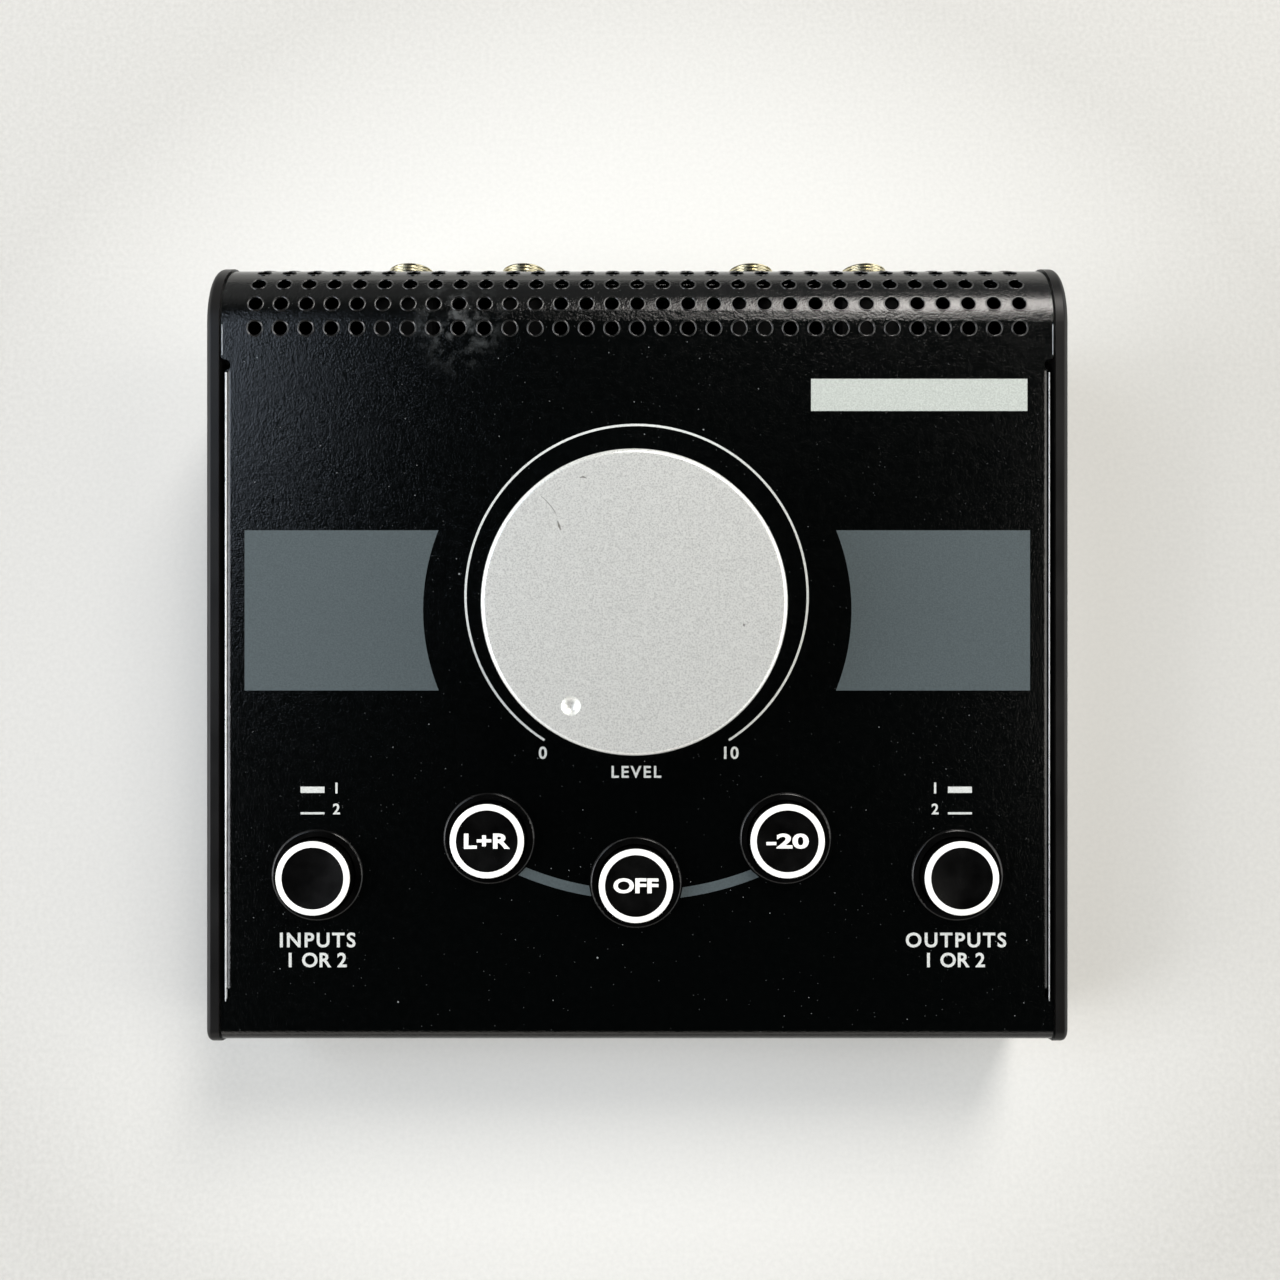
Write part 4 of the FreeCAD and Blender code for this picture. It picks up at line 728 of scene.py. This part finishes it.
class CONTROLLER_OT_prints(bpy.types.Operator):
    """Print the blocks, the arc, the band, the bars and the generic lettering on the panel"""
    bl_idname = "controller.prints"
    bl_label = "Panel prints"

    def execute(self, context):
        settings = context.scene.controller_print
        buttons = context.scene.controller_button
        self.ink = printed_ink("White screen ink", settings.ink[:])
        self.slate = printed_ink("Slate screen ink", settings.slate[:])
        self.add_blocks(settings)
        self.add_arc(settings)
        self.add_band(settings, buttons)
        self.add_bars()
        self.add_strip(settings)
        self.add_words()
        return {"FINISHED"}

    def add_flat(self, name, outline, material):
        """One printed shape on the panel."""
        return add_piece(name, plate(outline, 0, INK), PANEL, material, "root")

    def add_box(self, name, left, right, low, high, material):
        """One printed rectangle on the panel."""
        self.add_flat(name, [(left, low), (right, low), (right, high), (left, high)], material)

    def add_blocks(self, settings):
        """The two slate blocks with hollow inner edges."""
        centre = (0, settings.block_arc_t)
        rise_low = math.asin((settings.block_low - centre[1]) / settings.block_radius)
        rise_high = math.asin((settings.block_high - centre[1]) / settings.block_radius)
        for name, side in (("left_block", -1), ("right_block", 1)):
            hollow = arc_points(centre, settings.block_radius, rise_high, rise_low, 40)
            corners = [(settings.block_x, settings.block_low), (settings.block_x, settings.block_high)]
            outline = [(side * x, y) for x, y in corners + hollow]
            self.add_flat(name, outline, self.slate)

    def add_arc(self, settings):
        """The fine white arc round the knob."""
        half = settings.arc_width / 2
        outline = arc_strip((settings.arc_x, settings.arc_t), settings.arc_radius - half,
                            settings.arc_radius + half, math.pi / 2 - settings.arc_half,
                            math.pi / 2 + settings.arc_half, 160)
        self.add_flat("volume_arc", outline, self.ink)

    def add_band(self, settings, buttons):
        """The slate band round the knob's foot, broken where it meets the round buttons."""
        centre = Vector((settings.band_x, settings.band_t))
        half = settings.band_width / 2
        middle = Vector(button_place(buttons, "mute"))
        for name, end in (("left_band", "mono"), ("right_band", "dim")):
            outer = Vector(button_place(buttons, end))
            corners = []
            for radius in (settings.band_radius - half, settings.band_radius + half):
                start = self.clear_of(centre, radius, middle, settings.band_gap, outer)
                stop = self.clear_of(centre, radius, outer, settings.band_gap, middle)
                corners.append((radius, start, stop))
            inside = arc_points(centre, corners[0][0], corners[0][1], corners[0][2], 24)
            outside = arc_points(centre, corners[1][0], corners[1][2], corners[1][1], 24)
            self.add_flat(name, inside + outside, self.slate)

    def clear_of(self, centre, radius, button, gap, towards):
        """Angle on an arc where it comes within a gap of a button, on the side towards a point."""
        apart = (button - centre).length
        rise = math.atan2(button.y - centre.y, button.x - centre.x)
        swing = math.acos((apart ** 2 + radius ** 2 - gap ** 2) / (2 * apart * radius))
        return rise + math.copysign(swing, towards.x - button.x)

    def add_bars(self):
        """The thick and the thin bar over each select button."""
        half = 2.75 * MM
        for side, x in (("left", -74.6 * MM), ("right", 74.1 * MM)):
            for kind, t, height in (("in", -34.4 * MM, 1.45 * MM), ("out", -39.8 * MM, 0.5 * MM)):
                low, high = t - height / 2, t + height / 2
                self.add_box(side + "_" + kind + "_bar", x - half, x + half, low, high, self.ink)

    def add_strip(self, settings):
        """The blank write-on strip at the upper right."""
        strip = printed_ink("Pale strip ink", settings.strip_ink[:])
        self.add_box("write_on_strip", 39.9 * MM, 89.6 * MM, 52.6 * MM, 60.0 * MM, strip)

    def add_words(self):
        """Generic lettering: numbers at the arc's ends and by the bars, and plain function words."""
        words = (
            ("dial_low", "0", -21.7, -25.9, 2.9, 1.0),
            ("dial_high", "10", 21.6, -25.9, 2.9, 1.1),
            ("dial_word", "LEVEL", -0.2, -30.3, 2.75, 1.25),
            ("left_first", "1", -69.1, -34.0, 2.5, 1.0),
            ("left_second", "2", -69.1, -38.8, 2.5, 1.0),
            ("right_first", "1", 68.4, -34.0, 2.5, 1.0),
            ("right_second", "2", 68.4, -38.8, 2.5, 1.0),
            ("left_word", "INPUTS", -73.4, -68.9, 3.45, 1.2),
            ("left_range", "1 OR 2", -73.4, -73.5, 3.4, 1.05),
            ("right_word", "OUTPUTS", 73.2, -68.9, 3.45, 1.2),
            ("right_range", "1 OR 2", 73.2, -73.5, 3.4, 1.05),
        )
        for name, text, x, t, height, spacing in words:
            bm = lettering(text, height * MM, PRINT_WEIGHT, spacing=spacing)
            place = PANEL @ Matrix.Translation((x * MM, t * MM, 0))
            add_piece(name, bm, place, self.ink, "root")


class CONTROLLER_OT_knob(bpy.types.Operator):
    """Turn the volume knob, press its dimple and mark its wear"""
    bl_idname = "controller.knob"
    bl_label = "Volume knob"

    def execute(self, context):
        settings = context.scene.controller_knob
        metal = blasted_aluminium("Blasted clear anodised aluminium", settings.metal[:])
        inner = settings.radius - settings.wall
        roof = settings.top - settings.wall
        edge = 0.3 * MM
        round_r = settings.rounding
        turns = [math.pi / 2 * step / ROUNDING_STEPS for step in range(ROUNDING_STEPS + 1)]
        rounded = [(settings.radius - round_r * (1 - math.cos(a)), settings.top - round_r * (1 - math.sin(a)))
                   for a in turns]
        profile = [
            (0, roof), (inner, roof), (inner, settings.bottom), (settings.radius - edge, settings.bottom),
            (settings.radius, settings.bottom + edge), *rounded,
            (settings.radius - round_r - edge, settings.top), (0, settings.top),
        ]
        bm = lathe(profile, KNOB_STEPS)
        knob_place = PANEL @ Matrix.Translation((KNOB_X, KNOB_T, 0))
        knob = add_piece("turned_knob", bm, Matrix.Identity(4), metal, "knob", 0.5)
        self.press_dimple(settings, knob)
        knob.data.transform(knob_place)
        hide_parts("knob_cap")
        self.add_marks(settings, knob_place)
        dress(moulded_plastic("Black hub plastic", linear("#141414"), 0.5), "knob_hub", "volume_wipers")
        dress(plated_metal("Spring steel", linear("#A8A8A6"), 0.25), "knob_spring_clip", "return_springs")
        return {"FINISHED"}

    def press_dimple(self, settings, knob):
        """Cut the round dimple, then soften its edge and the knob's."""
        depth = settings.dimple_depth
        ball_radius = (settings.dimple_radius ** 2 + depth ** 2) / (2 * depth)
        centre = (-settings.dimple_reach * math.sin(settings.dimple_angle),
                  -settings.dimple_reach * math.cos(settings.dimple_angle),
                  settings.top - depth + ball_radius)
        ball_bm = bmesh.new()
        bmesh.ops.create_uvsphere(ball_bm, u_segments=96, v_segments=96, radius=ball_radius)
        bmesh.ops.translate(ball_bm, vec=centre, verts=ball_bm.verts)
        ball = add_object("ball", finished_mesh("ball", ball_bm))
        cut = knob.modifiers.new("dimple", "BOOLEAN")
        cut.operation = "DIFFERENCE"
        cut.solver = "EXACT"
        cut.object = ball
        soften = knob.modifiers.new("soften", "BEVEL")
        soften.width = 0.12 * MM
        soften.segments = 2
        soften.limit_method = "ANGLE"
        soften.angle_limit = math.radians(25)
        mesh = evaluated_mesh(knob)
        knob.modifiers.clear()
        knob.data = mesh
        mesh.shade_smooth()
        mesh.set_sharp_from_angle(angle=0.2)
        bpy.data.objects.remove(ball)

    def add_marks(self, settings, knob_place):
        """The few fine scratches and specks on the knob's top."""
        dark = moulded_plastic("Dirt in scratches", linear("#6F6E69"), 0.7)
        marks = (
            ("knob_scratch", [(-20.2, 22.9), (-18.6, 21.4), (-17.2, 19.7), (-16.3, 18.0)], 0.10),
            ("knob_nick", [(-16.3, 17.2), (-16.0, 16.2), (-15.6, 15.2)], 0.42),
            ("knob_scuff", [(-11.6, 26.4), (-10.9, 26.6), (-10.2, 26.3)], 0.3),
            ("knob_speck", [(23.2, -4.6), (23.3, -4.9), (23.4, -5.2)], 0.35),
        )
        for name, points, width in marks:
            outline = stroke([(x * MM, y * MM) for x, y in points], width * MM)
            bm = plate(outline, settings.top, settings.top + 0.008 * MM)
            add_piece(name, bm, knob_place, dark, "knob")


class CONTROLLER_OT_buttons(bpy.types.Operator):
    """Finish the push buttons with their bright rings and plain legends"""
    bl_idname = "controller.buttons"
    bl_label = "Push buttons"

    def execute(self, context):
        settings = context.scene.controller_button
        plastic = moulded_plastic("Black cap plastic", settings.plastic[:], 0.2, shine=0.3)
        bright = moulded_plastic("Bright ring plastic", settings.ring_ink[:], 0.4)
        dress(plastic, *[name + "_cap" for name in BUTTONS])
        dress(moulded_plastic("Black bezel plastic", linear("#030303"), 0.12, shine=0.35), "button_bezels")
        dress(moulded_plastic("White plunger plastic", linear("#D8D6CF"), 0.4),
              *[name + "_plunger" for name in BUTTONS])
        for name in BUTTONS:
            x, t = button_place(settings, name)
            place = PANEL @ Matrix.Translation((x, t, 0))
            ring = lathe(self.ring_profile(settings), 96, closed=True)
            add_piece(name + "_ring", ring, place, bright, name + "_button", 0.7)
        for name, words, width in (("mono", "L+R", 10.4), ("mute", "OFF", 10.2), ("dim", "-20", 9.6)):
            x, t = button_place(settings, name)
            bm = lettering(words, 3.45 * MM, LEGEND_WEIGHT, width * MM)
            self.follow_dish(bm, settings)
            place = PANEL @ Matrix.Translation((x, t, 0))
            add_piece(name + "_legend", bm, place, bright, name + "_button")
        return {"FINISHED"}

    def ring_profile(self, settings):
        """Section of the bright ring: flat on the cap's rim and rolled over its edge."""
        top = settings.cap_top
        edge = 0.4 * MM
        centre_r = settings.cap_radius - edge
        roll = [(centre_r + (edge + INK) * math.sin(a), top - edge + (edge + INK) * math.cos(a))
                for a in (0.0, 0.25, 0.5, 0.75, 0.95)]
        under = [(centre_r + (edge - INK) * math.sin(a), top - edge + (edge - INK) * math.cos(a))
                 for a in (0.95, 0.5, 0.0)]
        return [(settings.ring_inner, top + INK)] + roll + under + [(settings.ring_inner, top - INK)]

    def follow_dish(self, bm, settings):
        """Lay a flat legend on the dished top of a cap."""
        reach = settings.ring_inner
        ball = (reach ** 2 + settings.dish ** 2) / (2 * settings.dish)
        bmesh.ops.triangulate(bm, faces=bm.faces)
        for limit in (2.0, 1.2, 0.8):
            long_edges = [edge for edge in bm.edges if edge.calc_length() > limit * MM]
            bmesh.ops.subdivide_edges(bm, edges=long_edges, cuts=1)
            bmesh.ops.triangulate(bm, faces=bm.faces)
        for vert in bm.verts:
            across = min(math.hypot(vert.co.x, vert.co.y), reach)
            sunk = math.sqrt(ball ** 2 - across ** 2) - (ball - settings.dish)
            vert.co.z += settings.cap_top - sunk


def nose_mesh(settings, low, high):
    """One plated nose with its plug hole and its helical thread, along the upright axis."""
    chamfer = 0.5 * MM
    rows = [(settings.bore, low, 0), (settings.bore, high - chamfer, 0), (settings.bore + chamfer, high, 0),
            (settings.thread - 0.6 * MM, high, 0)]
    level = high - 0.4 * MM
    while level > low:
        rows.append((settings.thread, level, 1))
        level -= settings.thread_pitch / THREAD_STEPS
    rows.append((settings.thread - settings.thread_depth, low, 0))
    bm = bmesh.new()
    rings = []
    for radius, height, threaded in rows:
        ring = []
        for step in range(NOSE_STEPS):
            turn = 2 * math.pi * step / NOSE_STEPS
            phase = (height / settings.thread_pitch + step / NOSE_STEPS) % 1.0
            reach = radius - threaded * settings.thread_depth * 2 * abs(phase - 0.5)
            ring.append(bm.verts.new((reach * math.cos(turn), reach * math.sin(turn), height)))
        rings.append(ring)
    for first, second in zip(rings, rings[1:] + rings[:1]):
        for step in range(NOSE_STEPS):
            after = (step + 1) % NOSE_STEPS
            bm.faces.new((first[step], first[after], second[after], second[step]))
    bmesh.ops.recalc_face_normals(bm, faces=bm.faces)
    return finished_mesh("nose", bm)


def copies_tree(template, material):
    """Nodes that set a copy of one piece on every point of a mesh."""
    tree = bpy.data.node_groups.new("Copies", "GeometryNodeTree")
    tree.interface.new_socket("Geometry", in_out="INPUT", socket_type="NodeSocketGeometry")
    tree.interface.new_socket("Geometry", in_out="OUTPUT", socket_type="NodeSocketGeometry")
    scale = tree.interface.new_socket("Scale", in_out="INPUT", socket_type="NodeSocketFloat").identifier
    given = tree.nodes.new("NodeGroupInput").outputs
    shape = add_node(tree, "GeometryNodeObjectInfo", {"Object": template})
    copies = add_node(tree, "GeometryNodeInstanceOnPoints", {}, {
        "Points": given["Geometry"], "Instance": shape.outputs["Geometry"], "Scale": given["Scale"]})
    real = add_node(tree, "GeometryNodeRealizeInstances", {}, {"Geometry": copies.outputs["Instances"]})
    plated = add_node(tree, "GeometryNodeSetMaterial", {"Material": material},
                      {"Geometry": real.outputs["Geometry"]})
    add_node(tree, "NodeGroupOutput", {}, {"Geometry": plated.outputs["Geometry"]})
    return tree, {"Scale": scale}


class CONTROLLER_OT_jacks(bpy.types.Operator):
    """Thread the jack noses and plate the jack hardware"""
    bl_idname = "controller.jacks"
    bl_label = "Rear jacks"

    def execute(self, context):
        settings = context.scene.controller_jack
        nickel = plated_metal("Nickel plated brass", settings.nickel[:], 0.16)
        dress(nickel, "jack_washers", "jack_nuts", "jack_sleeves")
        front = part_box("jack_washers")[0].y
        template_mesh = nose_mesh(settings, 0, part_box("jack_sleeves")[1].y - front)
        template_mesh.transform(Matrix.Rotation(-math.pi / 2, 4, "X"))
        template = add_object("nose", template_mesh)
        places = bpy.data.meshes.new("jack_noses")
        centres = []
        for name in JACKS:
            box_low, box_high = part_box(name)
            middle = (box_low + box_high) / 2
            centres.append((middle.x, front, middle.z))
        places.from_pydata(centres, [], [])
        tree, sockets = copies_tree(template, nickel)
        mesh = run_tree("jack_noses", tree, sockets, {"Scale": 1.0}, places)
        bpy.data.objects.remove(template)
        noses = add_mesh_piece("jack_noses", mesh, nickel, "root", 0.9)
        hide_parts("jack_sleeves")
        return {"FINISHED"}


class CONTROLLER_OT_inside(bpy.types.Operator):
    """Finish what the case holds"""
    bl_idname = "controller.inside"
    bl_label = "Inside"

    def execute(self, context):
        dress(board_laminate("Green board laminate", linear("#0F4A28")), "control_board", "jack_board",
              "volume_tracks")
        black = moulded_plastic("Black housing plastic", linear("#040404"), 0.6, shine=0.2)
        dress(black, "volume_housing", "control_header", "jack_header", *JACKS)
        dress(black, *[name + "_switch" for name in BUTTONS])
        dress(plated_metal("Plated shaft metal", linear("#C9C6BE"), 0.25), "volume_shaft", "volume_bushing",
              "volume_nut")
        dress(plated_metal("Zinc plated fixings", linear("#B4B6B8"), 0.3), "volume_washer", "board_standoffs",
              "board_screws")
        dress(plated_metal("Tinned pins", linear("#C4C4BE"), 0.3), "volume_pins", "switch_pins", "jack_pins")
        dress(moulded_plastic("Blue resistor lacquer", linear("#3F7FA8"), 0.3), "pad_resistors")
        dress(ribbed_insulation("Grey ribbon insulation", linear("#9A9A98")), "ribbon_cable")
        return {"FINISHED"}


def add_light(name, place, target, width, height, power, tint):
    """A soft rectangular lamp that looks at a point."""
    lamp = bpy.data.lights.new(name, "AREA")
    lamp.shape = "RECTANGLE"
    lamp.size = width
    lamp.size_y = height
    lamp.energy = power
    lamp.color = linear(tint)[:3]
    holder = add_object(name, lamp)
    holder.location = place
    holder.rotation_euler = (target - place).to_track_quat("-Z", "Y").to_euler()


class CONTROLLER_OT_stage(bpy.types.Operator):
    """Set up the camera, the pale table and the soft lights"""
    bl_idname = "controller.stage"
    bl_label = "Stage"

    def execute(self, context):
        settings = context.scene.controller_stage
        self.add_camera(context.scene, settings)
        self.add_floor(settings)
        self.add_lights(context.scene)
        context.scene.view_settings.view_transform = "Standard"
        return {"FINISHED"}

    def add_camera(self, scene, settings):
        """A camera square to the panel, as in the photograph."""
        camera_data = bpy.data.cameras.new("Camera")
        camera_data.lens = settings.lens
        camera_data.sensor_width = 36.0
        camera_data.clip_start = 0.01
        camera = add_object("Camera", camera_data)
        camera.matrix_world = PANEL @ Matrix.Translation((settings.camera_x, 0, settings.camera_height))
        scene.camera = camera

    def add_floor(self, settings):
        """A wide pale table top."""
        bm = bmesh.new()
        bmesh.ops.create_grid(bm, x_segments=1, y_segments=1, size=3.0)
        mesh = finished_mesh("table", bm)
        mesh.materials.append(studio_floor("Matt table paint", settings.floor[:]))
        add_object("table", mesh)

    def add_lights(self, scene):
        """A ceiling lamp strip behind the unit, a cool window at the left and soft light all round."""
        lamps = (
            ("rear_lamp", (0.42, 1.12, 1.1), 0.5, 0.75, 15.5, "#FFFBF6"),
            ("left_window", (-0.82, 0.42, 1.2), 0.5, 0.5, 3.2, "#DDECFF"),
            ("left_wall", (-1.25, -0.1, 0.95), 0.8, 0.8, 11.5, "#F6F8FF"),
            ("right_wall", (1.2, 0.1, 1.15), 0.8, 0.8, 6, "#FFFAF2"),
            ("front_wall", (-0.1, -1.4, 0.75), 1.6, 0.7, 3, "#FFF8F0"),
        )
        for name, spot, width, height, power, tint in lamps:
            add_light(name, PANEL @ Vector(spot), PANEL_ZERO, width, height, power, tint)
        scene.world = room_light()


def room_light():
    """Room light from both sides, dim overhead where the camera and its holder stand in the way."""
    world = bpy.data.worlds.new("Room")
    world.use_nodes = True
    tree = world.node_tree
    back = tree.nodes["Background"]
    direction = add_node(tree, "ShaderNodeTexCoord", {}).outputs["Generated"]
    overhead = add_node(tree, "ShaderNodeVectorMath", {"operation": "DOT_PRODUCT", 1: NORMAL}, {0: direction})
    across = add_node(tree, "ShaderNodeVectorMath", {"operation": "DOT_PRODUCT", 1: RIGHT}, {0: direction})
    fade = add_node(tree, "ShaderNodeMapRange", {
        "interpolation_type": "SMOOTHSTEP", "From Min": 0.35, "From Max": 0.8, "To Min": 1.0,
        "To Max": 0.01}, {"Value": overhead.outputs["Value"]}).outputs["Result"]
    sides = spread(tree, combine(tree, "POWER", across.outputs["Value"], 2.0), 0.05, 0.7, 0.25, 2.7)
    back.inputs["Color"].default_value = linear("#F4F5F3")
    tree.links.new(combine(tree, "MULTIPLY", fade, sides), back.inputs["Strength"])
    return world


class CONTROLLER_PT_panel(bpy.types.Panel):
    """Steps that dress the controller, with their settings"""
    bl_idname = "CONTROLLER_PT_panel"
    bl_label = "Monitor controller"
    bl_space_type = "VIEW_3D"
    bl_region_type = "UI"
    bl_category = "Controller"

    def draw(self, context):
        for group, step in GROUPS:
            box = self.layout.box()
            box.operator(step)
            if group:
                settings = getattr(context.scene, group)
                for key in settings.bl_rna.properties.keys():
                    if key not in ("rna_type", "name"):
                        box.prop(settings, key)


GROUPS = (
    ("controller_stage", "controller.stage"),
    ("controller_case", "controller.case"),
    ("controller_print", "controller.prints"),
    ("controller_knob", "controller.knob"),
    ("controller_button", "controller.buttons"),
    ("controller_jack", "controller.jacks"),
    (None, "controller.inside"),
)
SETTINGS = {
    "controller_case": CaseSettings,
    "controller_print": PrintSettings,
    "controller_knob": KnobSettings,
    "controller_button": ButtonSettings,
    "controller_jack": JackSettings,
    "controller_stage": StageSettings,
}
CLASSES = (
    *SETTINGS.values(),
    CONTROLLER_OT_stage,
    CONTROLLER_OT_case,
    CONTROLLER_OT_prints,
    CONTROLLER_OT_knob,
    CONTROLLER_OT_buttons,
    CONTROLLER_OT_jacks,
    CONTROLLER_OT_inside,
    CONTROLLER_PT_panel,
)


def register():
    """Register the settings, the steps and the panel."""
    for cls in CLASSES:
        bpy.utils.register_class(cls)
    for name, cls in SETTINGS.items():
        setattr(bpy.types.Scene, name, PointerProperty(type=cls))


def unregister():
    """Take the settings, the steps and the panel out again."""
    for name in SETTINGS:
        delattr(bpy.types.Scene, name)
    for cls in reversed(CLASSES):
        bpy.utils.unregister_class(cls)


def main():
    """Dress the controller step by step."""
    register()
    bpy.ops.controller.stage()
    bpy.ops.controller.case()
    bpy.ops.controller.prints()
    bpy.ops.controller.knob()
    bpy.ops.controller.buttons()
    bpy.ops.controller.jacks()
    bpy.ops.controller.inside()


if __name__ == "__main__":
    main()
